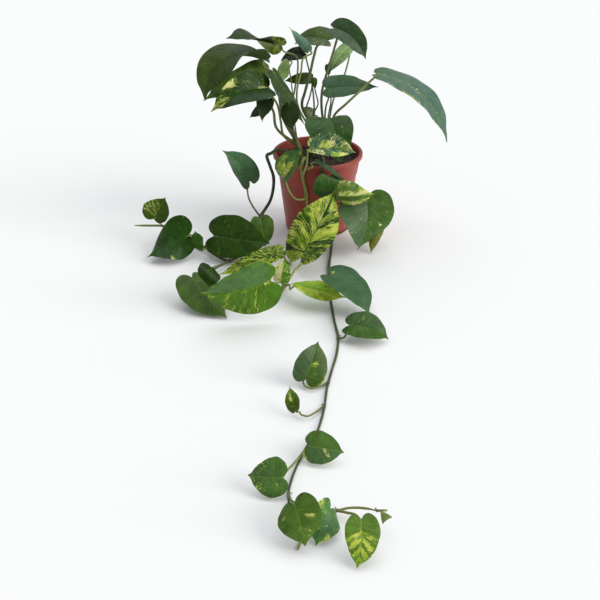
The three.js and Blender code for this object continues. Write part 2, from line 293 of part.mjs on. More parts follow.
function blade([, base, tip, normal, ratio, bend, arch, twist, fold, asymmetry, curl, lobes]) {
  const B = v3(base), chord = v3(tip).sub(B), len = chord.length();
  const c = chord.clone().normalize();
  const n = v3(normal); n.addScaledVector(c, -n.dot(c)).normalize();
  const s = new THREE.Vector3().crossVectors(c, n);
  const be = Math.abs(bend) < 0.1 ? 0.002 : rad(bend);
  const arc = (len * (be / 2)) / Math.sin(be / 2), R = arc / be, half = 0.5 * ratio * arc;
  const g = rad(arch), a = n.clone().multiplyScalar(Math.cos(g)).addScaledVector(s, Math.sin(g));
  const b = new THREE.Vector3().crossVectors(c, a);
  const at = (x, y, side, off) => {
    const ps = be * (y - 0.5), sn = Math.sin(ps), cs = Math.cos(ps);
    const p = B.clone().addScaledVector(c, R * (sn + Math.sin(be / 2))).addScaledVector(a, R * (cs - Math.cos(be / 2)));
    const t = c.clone().multiplyScalar(cs).addScaledVector(a, -sn);
    const a2 = c.clone().multiplyScalar(sn).addScaledVector(a, cs);
    const n0 = a2.multiplyScalar(Math.cos(g)).addScaledVector(b, -Math.sin(g));
    const s0 = new THREE.Vector3().crossVectors(t, n0);
    const tau = rad(twist) * (y - 0.5);
    const nv = n0.clone().multiplyScalar(Math.cos(tau)).addScaledVector(s0, Math.sin(tau));
    const sv = new THREE.Vector3().crossVectors(t, nv);
    const w = x * half * (1 + side * asymmetry), ph = rad(fold);
    const up = w * Math.sin(ph) - (curl * w * w) / half * 0.5;
    return p.addScaledVector(sv, side * w * Math.cos(ph)).addScaledVector(nv, up + off);
  };
  const pos = [], index = [];
  const add = (p) => { pos.push(p.x, p.y, p.z); return pos.length / 3 - 1; };
  const rows = MARGIN_ROWS.length, cols = VEIN_COLUMNS.length, h = LEAF_THICKNESS / 2;
  const sinus = add(at(0, 0, 1, 0)), apex = add(at(0, 1, 1, 0));
  const margin = { 1: [], '-1': [] };
  for (const side of [1, -1]) for (let i = 1; i < rows - 1; i++) {
    const [x, y] = flat(MARGIN_ROWS[i], 1, lobes); margin[side][i] = add(at(x, y, side, 0));
  }
  for (const face of [1, -1]) {
    const rib = [];
    for (let i = 1; i < rows - 1; i++) { const [x, y] = flat(MARGIN_ROWS[i], 0, lobes); rib[i] = add(at(x, y, 1, face * h)); }
    for (const side of [1, -1]) {
      const id = (i, j) => {
        if (i === 0) return sinus;
        if (i === rows - 1) return apex;
        if (j === 0) return rib[i];
        if (j === cols - 1) return margin[side][i];
        return inner[i][j];
      };
      const inner = [];
      for (let i = 1; i < rows - 1; i++) {
        inner[i] = [];
        for (let j = 1; j < cols - 1; j++) { const [x, y] = flat(MARGIN_ROWS[i], VEIN_COLUMNS[j], lobes); inner[i][j] = add(at(x, y, side, face * h)); }
      }
      const flip = face * side < 0;
      const tri = (p, q, r) => { if (p !== q && q !== r && p !== r) index.push(...(flip ? [p, r, q] : [p, q, r])); };
      for (let i = 0; i < rows - 1; i++) for (let j = 0; j < cols - 1; j++) {
        tri(id(i, j), id(i, j + 1), id(i + 1, j + 1));
        tri(id(i, j), id(i + 1, j + 1), id(i + 1, j));
      }
    }
  }
  const geo = new THREE.BufferGeometry();
  geo.setAttribute('position', new THREE.Float32BufferAttribute(pos, 3));
  geo.setIndex(index);
  geo.computeVertexNormals();
  return geo;
}

// ---- materials ------------------------------------------------------------------------
const material = (color, roughness, metalness = 0) => new THREE.MeshStandardMaterial({ color, roughness, metalness });
const LEAF_COLOURS = { dark: 0x2c4a1e, deep: 0x24422a, olive: 0x5b7536, pale: 0x8fb36a, lime: 0x8fae2e, cream: 0xb9c988 };
const LEAF_TONE = {
  leaf_02: 'olive', leaf_04: 'deep', leaf_05: 'olive', leaf_06: 'olive', leaf_08: 'olive', leaf_14: 'pale', leaf_15: 'olive',
  leaf_18: 'deep', leaf_19: 'pale', leaf_21: 'deep', leaf_23: 'cream', leaf_31: 'lime', leaf_33: 'olive', leaf_38: 'lime',
  leaf_39: 'olive', leaf_42: 'cream', leaf_43: 'lime', leaf_44: 'deep', leaf_07: 'lime', leaf_24: 'pale',
};

// ---- assembly -------------------------------------------------------------------------
const group = new THREE.Group();
function piece(name, geometry, mat) {
  const mesh = new THREE.Mesh(geometry, mat);
  mesh.name = name;
  group.add(mesh);
}

// pot: one turned shell with a lip, a collar and a ring of drainage holes
const slope = (BODY_TOP_RADIUS - BASE_RADIUS) / (COLLAR_FOOT_Z - 1);
const collarInside = COLLAR_TOP_RADIUS - WALL;
let pot = toManifold(lathe([
  [0, 0], [BASE_RADIUS - 1, 0], [BASE_RADIUS, 1], [BODY_TOP_RADIUS, COLLAR_FOOT_Z - 1], [COLLAR_FOOT_RADIUS, COLLAR_FOOT_Z],
  [COLLAR_TOP_RADIUS, POT_HEIGHT - LIP_HEIGHT], [RIM_RADIUS - 0.6, POT_HEIGHT - LIP_HEIGHT], [RIM_RADIUS, POT_HEIGHT - LIP_HEIGHT + 1],
  [RIM_RADIUS, POT_HEIGHT - 1.4], [RIM_RADIUS - 1.4, POT_HEIGHT], [collarInside + 1.2, POT_HEIGHT], [collarInside, POT_HEIGHT - 1.2],
  [COLLAR_FOOT_RADIUS - WALL, COLLAR_FOOT_Z], [BODY_TOP_RADIUS - WALL, COLLAR_FOOT_Z - 1], [BASE_RADIUS - WALL + slope * FLOOR, FLOOR], [0, FLOOR],
], POT_SIDES));
for (let i = 0; i < DRAIN_HOLES; i++) {
  const a = (2 * Math.PI * (i + 0.5)) / DRAIN_HOLES;
  const hole = new THREE.CylinderGeometry(DRAIN_RADIUS, DRAIN_RADIUS, 3 * FLOOR, 12);
  hole.rotateX(Math.PI / 2);
  hole.translate(DRAIN_CIRCLE * Math.cos(a), DRAIN_CIRCLE * Math.sin(a), FLOOR / 2);
  pot = pot.subtract(toManifold(hole));
}
piece('pot', toGeometry(pot), material(0x9c3f30, 0.55));

// soil: fills the pot to below the rim, opened round every stem that grows out of it
const inner = (z) => (z <= COLLAR_FOOT_Z - 1 ? BASE_RADIUS - WALL + slope * z
  : COLLAR_FOOT_RADIUS - WALL + ((COLLAR_TOP_RADIUS - COLLAR_FOOT_RADIUS) * (z - COLLAR_FOOT_Z)) / (POT_HEIGHT - 1.2 - COLLAR_FOOT_Z)) - FIT_GAP;
let soil = toManifold(lathe([
  [0, FLOOR + FIT_GAP], [inner(FLOOR), FLOOR + FIT_GAP], [inner(COLLAR_FOOT_Z - 1), COLLAR_FOOT_Z - 1], [inner(COLLAR_FOOT_Z), COLLAR_FOOT_Z],
  [inner(SOIL_TOP - 2), SOIL_TOP - 2], [inner(SOIL_TOP) - 3, SOIL_TOP], [36, SOIL_TOP + 0.6 * SOIL_CROWN], [14, SOIL_TOP + SOIL_CROWN], [0, SOIL_TOP + SOIL_CROWN],
], POT_SIDES));
for (const { path, radius } of STEMS) {
  const low = path.filter((p) => p[2] < SOIL_TOP + 22 && Math.hypot(p[0], p[1]) < 50).slice(0, 3);
  const start = [low[0][0] * 1.0, low[0][1], low[0][2] - 1.2];
  soil = soil.subtract(toManifold(tube([start, ...low], radius + FIT_GAP + 0.35, STEM_SIDES, 8)));
}
piece('soil', toGeometry(soil), material(0x2e211a, 0.95));

// stems with their petioles
for (const { name, radius, path, petioles } of STEMS) {
  let solid = toManifold(tube(path, radius, STEM_SIDES, STEM_STEP));
  const line = centreLine(path, STEM_STEP);
  for (const [, r, points] of petioles) {
    const rooted = [nearestOn(line, points[0]), ...points.slice(1)];
    solid = solid.add(toManifold(tube(rooted, r, PETIOLE_SIDES, PETIOLE_STEP)));
  }
  // the outer skin alone, so no pocket stays sealed where petioles run side by side
  solid = solid.decompose().reduce((a, b) => (a.volume() > b.volume() ? a : b));
  piece(name, toGeometry(solid), material(name === 'vine_middle' ? 0x6f8a34 : 0x35482a, 0.5));
}

// leaf blades
for (const leaf of LEAVES) piece(leaf[0], blade(leaf), material(LEAF_COLOURS[LEAF_TONE[leaf[0]] ?? 'dark'], 0.35));

export default group;
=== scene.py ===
"""Looks for the potted pothos: blades with veins and variegation, grown stems, potting mix and a moulded pot."""
import math

import bpy
import numpy as np
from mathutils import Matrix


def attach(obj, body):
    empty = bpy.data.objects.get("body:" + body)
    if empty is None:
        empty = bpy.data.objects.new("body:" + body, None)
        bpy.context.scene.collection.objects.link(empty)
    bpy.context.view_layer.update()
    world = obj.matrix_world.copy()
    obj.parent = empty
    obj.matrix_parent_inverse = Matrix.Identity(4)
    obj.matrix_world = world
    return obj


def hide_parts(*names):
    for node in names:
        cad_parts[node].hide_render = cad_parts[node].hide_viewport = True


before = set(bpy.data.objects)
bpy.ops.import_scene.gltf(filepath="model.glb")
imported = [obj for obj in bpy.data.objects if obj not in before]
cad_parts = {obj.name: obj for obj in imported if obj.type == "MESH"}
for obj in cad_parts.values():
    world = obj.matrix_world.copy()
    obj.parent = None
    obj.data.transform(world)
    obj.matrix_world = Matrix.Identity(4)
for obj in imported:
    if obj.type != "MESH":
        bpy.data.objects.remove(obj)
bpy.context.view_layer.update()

MM = 0.001

# Each blade, in millimetres: name, base, tip, upper normal, width over length, bend along the midrib, tilt of that
# bend, twist, fold, asymmetry, curl. Each stem: name, radius, path, and its petioles as (leaf, radius, path).
LEAVES = [
    ('leaf_01', (22.9, 25, 286.6), (64.7, 5, 250.6), (0.084, -0.826, 0.557), 0.592, 81.1, -23.9, 20.9, 23.4, 0.024, 0.25, 1),
    ('leaf_02', (12.3, 45, 266.2), (-33.1, 85, 250.3), (-0.464, -0.181, 0.867), 0.673, 63.7, -4.8, -14.1, 13.7, 0.004, 0.25, 0.75),
    ('leaf_03', (-14.4, 5, 262.8), (-40.5, 25, 287.7), (0.163, -0.678, 0.717), 0.347, 18.4, 46.4, 83.3, -8.6, -0.071, 0.25, 0.55),
    ('leaf_04', (-20.3, 45, 247.3), (-53.5, 55, 233), (-0.462, -0.411, 0.786), 0.687, 65.3, -14, 9.8, 15.8, -0.08, 0.25, 0.7),
    ('leaf_05', (-52.7, 10, 266.6), (-123, -10, 281.6), (0.169, 0.139, 0.976), 0.729, 26.9, 28.1, -76.9, 14.7, 0.349, 0.25, 0.45),
    ('leaf_06', (-78.3, 5, 249.3), (-156.6, -25, 202.9), (-0.327, -0.44, 0.836), 0.709, 121.5, 49.9, -83.1, 20.6, -0.2, 0.25, 0.5),
    ('leaf_07', (27.2, -668.8, 30.7), (23, -696.5, 3.9), (0.019, -0.696, 0.718), 0.772, 39.9, -22.9, -4.8, 5, -0.059, 0.25, 1),
    ('leaf_08', (-71.4, 35, 223.5), (-159.8, -5, 194.6), (0.162, -0.788, 0.594), 0.329, 89.1, -9.4, -16.6, 26.8, 0.172, 0.25, 0.5),
    ('leaf_09', (-69.3, -35, 221.2), (-143, -70, 200.3), (0.119, -0.682, 0.722), 0.55, 63.3, 14.5, -7.8, 21.9, 0.039, 0.25, 0.35),
    ('leaf_10', (-61.3, -20, 237.5), (-20.6, -35, 171.3), (0.665, -0.528, 0.528), 0.372, 0.9, 0, 25.8, 10.3, 0.301, 0.25, 0.45),
    ('leaf_11', (-69.9, -15, 198.6), (-78.1, -25, 169.8), (0.636, -0.767, 0.084), 0.741, 67.6, 49.1, -91, 4.7, 0.183, 0.25, 0.8),
    ('leaf_12', (-69.6, 15, 183.3), (-97.2, 5, 166.1), (0.161, -0.943, 0.29), 0.526, 45, 9.6, 16.2, 20.5, 0.016, 0.25, 0.6),
    ('leaf_13', (-40.1, -50, 202.2), (-36.4, -55, 169.2), (0.01, -0.989, 0.151), 0.79, 36.9, 15, -75.7, 7.1, -0.035, 0.25, 0.7),
    ('leaf_14', (-43, 30, 238.6), (-51.2, 28, 211.2), (-0.498, -0.841, 0.21), 0.776, 24.1, 18.5, -68.1, 14.2, 0.039, 0.25, 0.6),
    ('leaf_15', (-9.5, 55, 207.9), (-48.3, 45, 207.1), (0.22, -0.886, 0.407), 0.42, 33.7, 6.2, 17.8, 10.8, 0.056, 0.25, 0.45),
    ('leaf_16', (-5.2, 30, 215.5), (-4.1, 25, 201.3), (-0.134, -0.937, 0.322), 0.562, 65.8, -0.7, 38.9, -2.1, 0.079, 0.25, 0.6),
    ('leaf_17', (-6.4, 50, 157.1), (-22.3, 42, 169.5), (0.493, -0.867, 0.074), 0.682, 0.7, 0, -23.6, 12.4, -0.11, 0.25, 0.8),
    ('leaf_18', (12.5, -15, 214.3), (81.1, -10, 214.9), (0.027, -0.47, 0.882), 0.575, 27, 22.6, -20.2, 9.9, -0.088, 0.25, 0.6),
    ('leaf_19', (42.9, 50, 254.6), (17.7, 40, 222.1), (-0.269, -0.842, 0.467), 0.502, 35.1, 20.2, 11.2, 12.7, -0.014, 0.25, 0.6),
    ('leaf_20', (13.9, 34, 233.1), (15.6, 32, 218.6), (-0.519, -0.853, 0.057), 0.73, 14.2, -4.4, -30.6, 12, 0.067, 0.25, 0.6),
    ('leaf_21', (80.5, -20, 235.4), (174.8, -60, 156.3), (0.566, -0.23, 0.791), 0.556, 69, -19.1, 13.8, 8.1, -0.073, 0.25, 0.3),
    ('leaf_22', (14.6, -52, 182.9), (28.5, -90, 135.4), (-0.006, -0.781, 0.624), 0.869, 116.1, -7.1, 23.9, 14.3, 0.197, 0.25, 0.8),
    ('leaf_23', (-10.1, -104, 160.3), (47.3, -102, 153.5), (0.113, -0.648, 0.753), 0.688, 26.9, -7.1, 42.2, 21.8, -0.194, 0.25, 0.6),
    ('leaf_24', (47, -651.1, 24.4), (47.5, -657.7, 16.5), (-0.804, -0.483, 0.346), 1.235, 50.5, 39.6, 32, -35, -0.333, 0.25, 0.6),
    ('leaf_25', (-50.5, -85, 115.1), (-23.6, -72, 144.3), (-0.095, -0.874, 0.476), 0.625, 106.3, -13.5, 39.1, 10.1, -0.031, 0.25, 0.7),
    ('leaf_26', (-2.8, -76, 129.7), (35, -73, 103.1), (0.557, -0.353, 0.752), 0.305, 0.9, 6.6, 36.4, 24.7, -0.078, 0.25, 0.5),
    ('leaf_27', (14.2, -78, 106.3), (25.9, -72, 70.7), (0.021, -0.987, -0.16), 1.166, 59.7, 18.2, 61.8, 1.3, 0.02, 0.25, 1),
    ('leaf_28', (25.4, -103, 91.4), (75.3, -101, 93.6), (0.023, -0.938, 0.345), 0.717, 65.5, 6.2, -35.7, -28.1, -0.158, 0.25, 0.7),
    ('leaf_29', (66.9, -84, 75.9), (56.4, -104, 12), (0.548, -0.819, 0.167), 1.169, 62.3, 1.1, -55.6, 4.8, 0.009, 0.25, 1),
    ('leaf_30', (85.6, -60, 38.5), (74.7, -97.6, 2), (-0.019, -0.693, 0.72), 0.404, 46.6, 1.4, -13.4, -12.2, -0.066, 0.25, 0.8),
    ('leaf_31', (-23, -151.5, 24), (21.4, -91, 93.3), (0.034, -0.763, 0.645), 0.655, 8.9, 37.4, 80.6, 13.4, -0.047, 0.25, 0.65),
    ('leaf_32', (-99.1, -10, 77), (-134.4, -25, 126.9), (0.513, -0.852, 0.107), 0.599, 49.3, 39.5, -6.1, 19.9, -0.001, 0.25, 1),
    ('leaf_33', (-230.7, -75.4, 46.5), (-216.1, -61.4, 70.7), (-0.02, -0.861, 0.509), 1.208, 25.6, -2.2, -31.7, 6.2, -0.133, 0.25, 1),
    ('leaf_34', (-182.1, -108.3, 33.4), (-236, -126.1, 10.6), (-0.158, -0.56, 0.813), 1.002, 19.2, 31.2, 71.2, -9.8, 0.146, 0.25, 1),
    ('leaf_35', (-162.1, -126.9, 22.1), (-170.6, -110.1, 42.1), (-0.534, -0.746, 0.398), 0.806, 40.5, -13, 75, 5.1, 0.078, 0.25, 0.7),
    ('leaf_36', (-142.1, -112.8, 35.5), (-69.2, -118.4, 27.5), (-0.005, -0.838, 0.545), 0.828, 33.8, 7.5, 4.3, 8.9, -0.079, 0.25, 1),
    ('leaf_37', (-80.9, -76.8, 43.4), (-75, -89.4, 8.7), (0.042, -0.937, 0.348), 0.929, 25, -2.1, 1.9, 11.9, -0.001, 0.25, 1),
    ('leaf_38', (-52.3, -161.4, 36.7), (-133.5, -184.7, 13.4), (0.111, -0.869, 0.482), 0.286, 4.4, 6.3, -63.2, 9.3, 0, 0.25, 0.5),
    ('leaf_39', (-65.8, -280, 54.8), (-144.5, -289.3, 44.5), (0.141, -0.969, -0.201), 0.922, 34.3, -6.2, -20.6, 13.7, -0.042, 0.25, 1),
    ('leaf_40', (-162.7, -230.4, 33.5), (-118, -278.2, 3.6), (0.124, -0.44, 0.889), 0.789, 26.1, 36.6, 15, -16.5, -0.054, 0.1, 1),
    ('leaf_41', (-136.6, -240.6, 53.5), (-140.4, -256.3, 34.8), (0.426, -0.735, 0.528), 1.214, 75.5, -2.6, 38.3, -5.6, 0.102, 0.25, 0.8),
    ('leaf_42', (-50.2, -220.6, 22), (-45.6, -206.2, 47), (-0.198, -0.833, 0.517), 0.864, 29.4, -0.1, 50.5, 11.6, 0.005, 0.25, 0.6),
    ('leaf_43', (-31.2, -239.5, 27.4), (31.4, -251.9, 17), (0.015, -0.596, 0.803), 0.472, 6.8, 9.8, 105, 13, 0.003, 0.25, 0.45),
    ('leaf_44', (15.7, -243.9, 42.8), (60, -276.6, 6.5), (0.473, -0.284, 0.834), 0.857, 49, -14.1, 0, 13.9, -0.061, 0.25, 1),
    ('leaf_45', (34.9, -320.8, 17.8), (79.2, -332, 5.5), (0.137, -0.441, 0.887), 0.823, 63.8, -9.2, 7.5, 11.8, -0.053, 0.25, 1),
    ('leaf_46', (-19.1, -424.8, 13.1), (-5.7, -397.1, 41.8), (0.372, -0.748, 0.549), 0.944, 27.5, -4.4, 14.7, 12, 0.048, 0.25, 1),
    ('leaf_47', (-30.8, -481.6, 10.1), (-36.5, -464.2, 28.1), (-0.103, -0.732, 0.674), 0.667, 15.9, -21.7, 94.2, 12.9, -0.007, 0.25, 0.55),
    ('leaf_48', (-15.9, -550.7, 18.4), (17, -554.9, 14), (-0.021, -0.796, 0.605), 0.974, 30.5, -3.7, 0, 3.9, 0.005, 0.25, 1),
    ('leaf_49', (-42.8, -597.9, 18.9), (-74, -596.4, 20.5), (-0.022, -0.901, 0.432), 1.262, 26.8, -17.3, -8.9, 15.5, 0.043, 0.25, 1),
    ('leaf_50', (-30.5, -654.2, 35.8), (-21.1, -677.9, 11.2), (-0.088, -0.733, 0.674), 1.129, 47.6, -14.4, -35.9, -1.6, -0.009, 0.25, 1),
    ('leaf_51', (1.2, -644.5, 21.7), (-11.6, -667.8, 2.2), (0.261, -0.701, 0.664), 0.934, 52.8, 18.9, 53.4, 4, -0.023, 0.25, 1),
]

STEMS = [
    ('vine_left', 2.3, [(-30, -12, 80), (-34, -13, 104), (-45, -15, 122), (-58, -17, 126), (-67.5, -19, 121), (-72.7, -20, 119.1), (-68.8, -17.8, 101.6), (-64.4, -5.2, 79.6), (-64.7, -27, 68.3), (-69.1, -32, 53.2), (-80.8, -40, 36.2), (-89.4, -50, 23.3), (-96.7, -56.9, 9), (-103, -78.9, 4.2), (-112.7, -109.8, 3.1), (-124.3, -124.3, 3.1), (-141.9, -112.5, 4.5), (-160.7, -88.7, 6), (-180.1, -64.8, 8), (-204, -43, 12), (-224.9, -46.3, 20), (-243.9, -53.5, 24), (-263.4, -57.5, 26)], [
        ('leaf_32', 1.35, [(-83.2, -42.5, 32.7), (-95.5, -30, 46), (-101.9, -14, 54.9), (-102.4, -3.4, 73), (-99.4, -9, 76)]),
        ('leaf_37', 1.3, [(-80.7, -39.9, 36.4), (-81.6, -69.9, 42.5), (-81.1, -75.8, 44.2)]),
        ('leaf_36', 1.5, [(-103.1, -79.2, 4.2), (-121.2, -101.8, 14), (-145.4, -106, 31.5), (-143, -111.8, 35)]),
        ('leaf_41', 1.2, [(-124.2, -124.3, 3.1), (-133, -152.9, 12), (-137.1, -193, 30), (-141.3, -237.2, 49.9), (-137.2, -239.4, 53.3)]),
        ('leaf_34', 1.4, [(-160.9, -88.5, 6), (-174.2, -78.4, 13), (-178.2, -101, 31.9), (-181.2, -106.6, 33)]),
        ('leaf_35', 1.1, [(-153.5, -98.3, 5.4), (-155.8, -124.3, 21.4), (-161.1, -127, 21.3)]),
        ('leaf_33', 1.1, [(-224.7, -46.3, 20), (-234, -32.5, 20), (-232.8, -70.2, 42.6), (-231.2, -75.3, 45.3)]),
        ('leaf_40', 1.5, [(-123.1, -124.1, 3), (-138.9, -149.8, 6), (-153.1, -172.9, 8), (-166.4, -224.4, 28.7), (-163.5, -229.1, 32.4)]),
    ]),
    ('vine_middle', 2, [(-14, -34, 78), (-16, -36, 104), (-19, -46, 124), (-22, -60, 126), (-23.5, -68, 121), (-24.3, -63.3, 117.9), (-21.5, -60.3, 100.4), (-17.2, -55.9, 77.4), (-15.6, -53.4, 54.8), (-15.5, -50.5, 31.5), (-15.4, -48.6, 8.2), (-21.3, -76.5, 3), (-31.3, -105.8, 2.6), (-40.8, -134.8, 2.6), (-45.9, -165.5, 2.6), (-46.8, -197.8, 2.8), (-50.4, -219, 3.2)], [
        ('leaf_23', 1.3, [(-21.4, -60.3, 100.1), (-19.5, -80, 118.7), (-16.2, -95, 136.1), (-14.9, -101.4, 154), (-11.3, -103.8, 160)]),
        ('leaf_26', 1.1, [(-22.8, -61.4, 108), (-14.7, -76, 120), (-7.8, -77, 124), (-10.8, -76.1, 127.8), (-4.1, -76.1, 130)]),
        ('leaf_25', 1.25, [(-16.8, -55.5, 74.1), (-21.5, -78, 75.5), (-31.2, -84, 78.8), (-39.4, -90, 91.1), (-44.1, -92, 104.5), (-46.8, -78.6, 111.2), (-50.2, -84.1, 114.1)]),
        ('leaf_38', 1.4, [(-40.8, -134.7, 2.6), (-46.4, -130.1, 9), (-46.8, -156.5, 32.5), (-51.1, -160.6, 36.2)]),
        ('leaf_31', 1.7, [(-46.8, -197.8, 2.8), (-39, -183.6, 8), (-31.7, -168.7, 13), (-21.8, -151.6, 15.4), (-23.2, -151.9, 22.8)]),
        ('leaf_42', 1.3, [(-46.8, -197.8, 2.8), (-46.5, -212, 12), (-46.6, -216.7, 17.4), (-50.1, -220.6, 20.8)]),
        ('leaf_43', 1.4, [(-46.8, -197.8, 2.8), (-40.1, -203.9, 9), (-37.6, -239.9, 22), (-32.4, -239.3, 27)]),
        ('leaf_39', 1.6, [(-46.8, -197.8, 2.8), (-54.2, -219.6, 12), (-61.2, -240, 26), (-63.5, -271.8, 55.8), (-65, -278.9, 55)]),
    ]),
    ('vine_long', 2.1, [(4, -34, 78), (5, -36, 104), (6, -46, 124), (6.5, -60.5, 127.5), (6.5, -69.8, 121.5), (4.1, -68.1, 115.4), (5.8, -61.8, 95), (9.8, -57.2, 71.9), (14.5, -53.1, 46.8), (18.6, -48.4, 21), (19.9, -62.3, 5.2), (18.3, -94.7, 3), (15.2, -128.9, 2.5), (13.6, -162.5, 2.5), (13, -199.9, 2.5), (14.1, -240.2, 2.5), (16.6, -282.9, 2.5), (20, -325.2, 2.5), (17, -360.8, 2.5), (10.1, -396.4, 2.5), (4.1, -430, 2.5), (0.7, -461.8, 2.5), (-3, -485.3, 2.5), (-8.7, -509.5, 2.5), (-18.6, -531.2, 2.5), (-27.1, -556.3, 2.5), (-33.8, -581.7, 2.5), (-36.5, -602.1, 2.6), (-34, -620.9, 3.2), (-23.8, -630.6, 4), (-9.2, -631.1, 4.5), (5.4, -629.7, 6), (19.9, -629.6, 10), (34.2, -633.6, 13), (43.6, -640, 16)], [
        ('leaf_27', 1.3, [(7.4, -59.6, 84.7), (10, -64, 92.9), (11.1, -71.8, 106.9), (13.8, -77.1, 107.2)]),
        ('leaf_28', 1.3, [(13.3, -54.2, 53.6), (19.2, -76, 69.3), (25.5, -88, 83.6), (23.9, -94.8, 90.6), (25.3, -100.9, 91.3)]),
        ('leaf_29', 1.5, [(13.5, -54, 52.2), (30.8, -66, 64.9), (51.6, -70, 72.8), (65.4, -75.6, 75.4), (66.6, -82.7, 76.3)]),
        ('leaf_30', 1.3, [(19.5, -52, 13.3), (32.1, -60, 15.3), (43.8, -54, 20.4), (64.3, -46, 26.2), (87.1, -52.8, 34.4), (86, -58.4, 37.5)]),
        ('leaf_44', 1.5, [(13.6, -162.2, 2.5), (15.7, -181.8, 7), (10, -240.7, 37.3), (14.5, -243.2, 42.2)]),
        ('leaf_45', 1.3, [(20, -325.6, 2.5), (27, -329.7, 6), (32.3, -317.5, 10.6), (34.1, -320.2, 16.8)]),
        ('leaf_46', 1.2, [(6.2, -417.6, 2.5), (-3.6, -427.8, 3.5), (-14.7, -433.5, 5), (-20.7, -428.1, 5), (-22.2, -421.8, 6), (-19.9, -423.6, 11.3)]),
        ('leaf_47', 1.1, [(0.7, -461.6, 2.5), (-8.7, -475.7, 4), (-18.3, -484.5, 5), (-25.6, -481.7, 6), (-25.3, -479.4, 6.6), (-30.2, -482.1, 9.1)]),
        ('leaf_48', 1.3, [(-11.5, -516.4, 2.5), (-14.6, -531.8, 9), (-17, -545.1, 14.4), (-16.9, -549.9, 18)]),
        ('leaf_49', 1.3, [(-22.5, -541.8, 2.5), (-30.5, -563, 8), (-38.1, -581.6, 13), (-41.1, -592, 15.6), (-41.7, -597.4, 18.7)]),
        ('leaf_50', 1.4, [(-36.5, -601.8, 2.6), (-33.9, -624, 14), (-28.3, -648.6, 32), (-30.5, -652.8, 35.8)]),
        ('leaf_51', 1.2, [(5.6, -629.6, 6), (3.4, -634.8, 9), (-2.3, -639.3, 19.1), (1.2, -643.1, 21.6)]),
        ('leaf_07', 1.3, [(8.7, -629.5, 6.8), (16.8, -638.1, 12), (23.4, -645.9, 17), (27.2, -663.3, 26.3), (27.2, -667.4, 30.6)]),
        ('leaf_24', 1, [(43.6, -640, 16), (51.5, -646.5, 22.5), (48.1, -649.8, 24.4)]),
    ]),
    ('crown_stem_left', 4.2, [(-26, 2, 80), (-25, 0, 104), (-27, -4, 122), (-31, -8, 134)], [
        ('leaf_09', 1.7, [(-29.6, -6.7, 130.2), (-48.3, -18, 146.7), (-52.8, -25, 172.5), (-57.2, -32, 197.6), (-68.8, -29.2, 214.8), (-68.4, -34.2, 220.9)]),
        ('leaf_11', 1.4, [(-29.6, -6.7, 130.2), (-58.2, -12, 156.4), (-62.1, -12, 179.7), (-69.6, -8.8, 195.3), (-69.6, -13.5, 198.6)]),
        ('leaf_12', 1.3, [(-27.5, -4.6, 124.2), (-60, 2, 151.6), (-64.2, 12, 171.9), (-70.8, 21.8, 182.1), (-68.9, 16, 183.5)]),
        ('leaf_06', 1.9, [(-31, -8, 134), (-49.9, 8, 164.3), (-55.4, 14, 196), (-57.8, 10, 224.4), (-76.4, 1.9, 241.3), (-77.5, 4.6, 248.3)]),
        ('leaf_08', 1.6, [(-28.1, -5.3, 126.2), (-45.9, 22, 156.7), (-54.5, 36, 184.8), (-65.9, 42, 209.4), (-73, 41.3, 217.8), (-71.4, 36.2, 222.8)]),
        ('leaf_10', 1.6, [(-31, -8, 134), (-44, -8, 166.8), (-50.7, -10, 196.3), (-57.3, -14, 220.2), (-69.2, -16.8, 238.4), (-62.5, -19.5, 238.1)]),
        ('leaf_05', 1.4, [(-31, -8, 134), (-38.5, 12, 171.9), (-32.7, 18, 204.9), (-28.5, 22, 235.2), (-31.2, 19, 250), (-48.7, 5.9, 260.3), (-51.6, 10, 266)]),
        ('leaf_14', 1.1, [(-28.1, -5.3, 126.2), (-34.3, 20, 160.3), (-35.7, 30, 186.7), (-38.5, 36, 211.2), (-40.6, 36, 228.4), (-36.9, 32.9, 238.3), (-42.3, 30.4, 239.5)]),
        ('leaf_13', 1.3, [(-30.2, -7.3, 131.9), (-38.1, -40, 169), (-40, -42, 186.7), (-36.3, -44.2, 202.8), (-39.8, -49.1, 203.1)]),
    ]),
    ('crown_stem_middle', 4.6, [(-8, 4, 80), (-8, 3, 104), (-8, 2, 124), (-6, 1, 140), (-5, 2, 150)], [
        ('leaf_02', 2.1, [(-5, 2, 150), (-22.8, 8, 182), (-18.6, 14, 200.4), (-11.6, 20, 224.4), (-6, 26, 248.1), (-0.5, 32, 261.9), (16.8, 45.4, 258.5), (13.2, 45.7, 263)]),
        ('leaf_03', 1.5, [(-5.8, 1.1, 142), (-28.5, 0, 184.5), (-29.8, 0, 207.5), (-24.3, 2, 232.3), (-20.8, 4, 251.2), (-9.1, 8.1, 256.9), (-12.7, 6.9, 261.1)]),
        ('leaf_04', 1.3, [(-5.2, 1.8, 148), (-5.5, 26, 179.1), (-8.5, 34, 206), (-14.3, 40, 230.2), (-17.8, 48.7, 241.9), (-19.1, 45.3, 247)]),
        ('leaf_15', 1.3, [(-7.1, 1.4, 131.9), (-17, 20, 169.2), (-11.1, 44, 185.3), (-8.1, 62, 194.7), (-7.9, 62.9, 205.6), (-8.7, 56, 207.6)]),
        ('leaf_16', 1.1, [(-6.2, 1, 138.1), (-7, 18, 165.5), (0.2, 26, 179.1), (-3.4, 32, 194.9), (-6.3, 36.1, 212.6), (-5.3, 31.4, 215.7)]),
        ('leaf_17', 1.2, [(-8.1, 2.2, 120), (-3.7, 34, 146.6), (0.8, 46, 153.1), (-7.8, 55.9, 153.9), (-6.3, 51.5, 156.1)]),
        ('leaf_22', 1.7, [(-6.5, 1.1, 136.1), (-7.3, -14, 155.6), (3.6, -27, 167.4), (13.8, -47.6, 175.5), (14.4, -51, 181.8)]),
    ]),
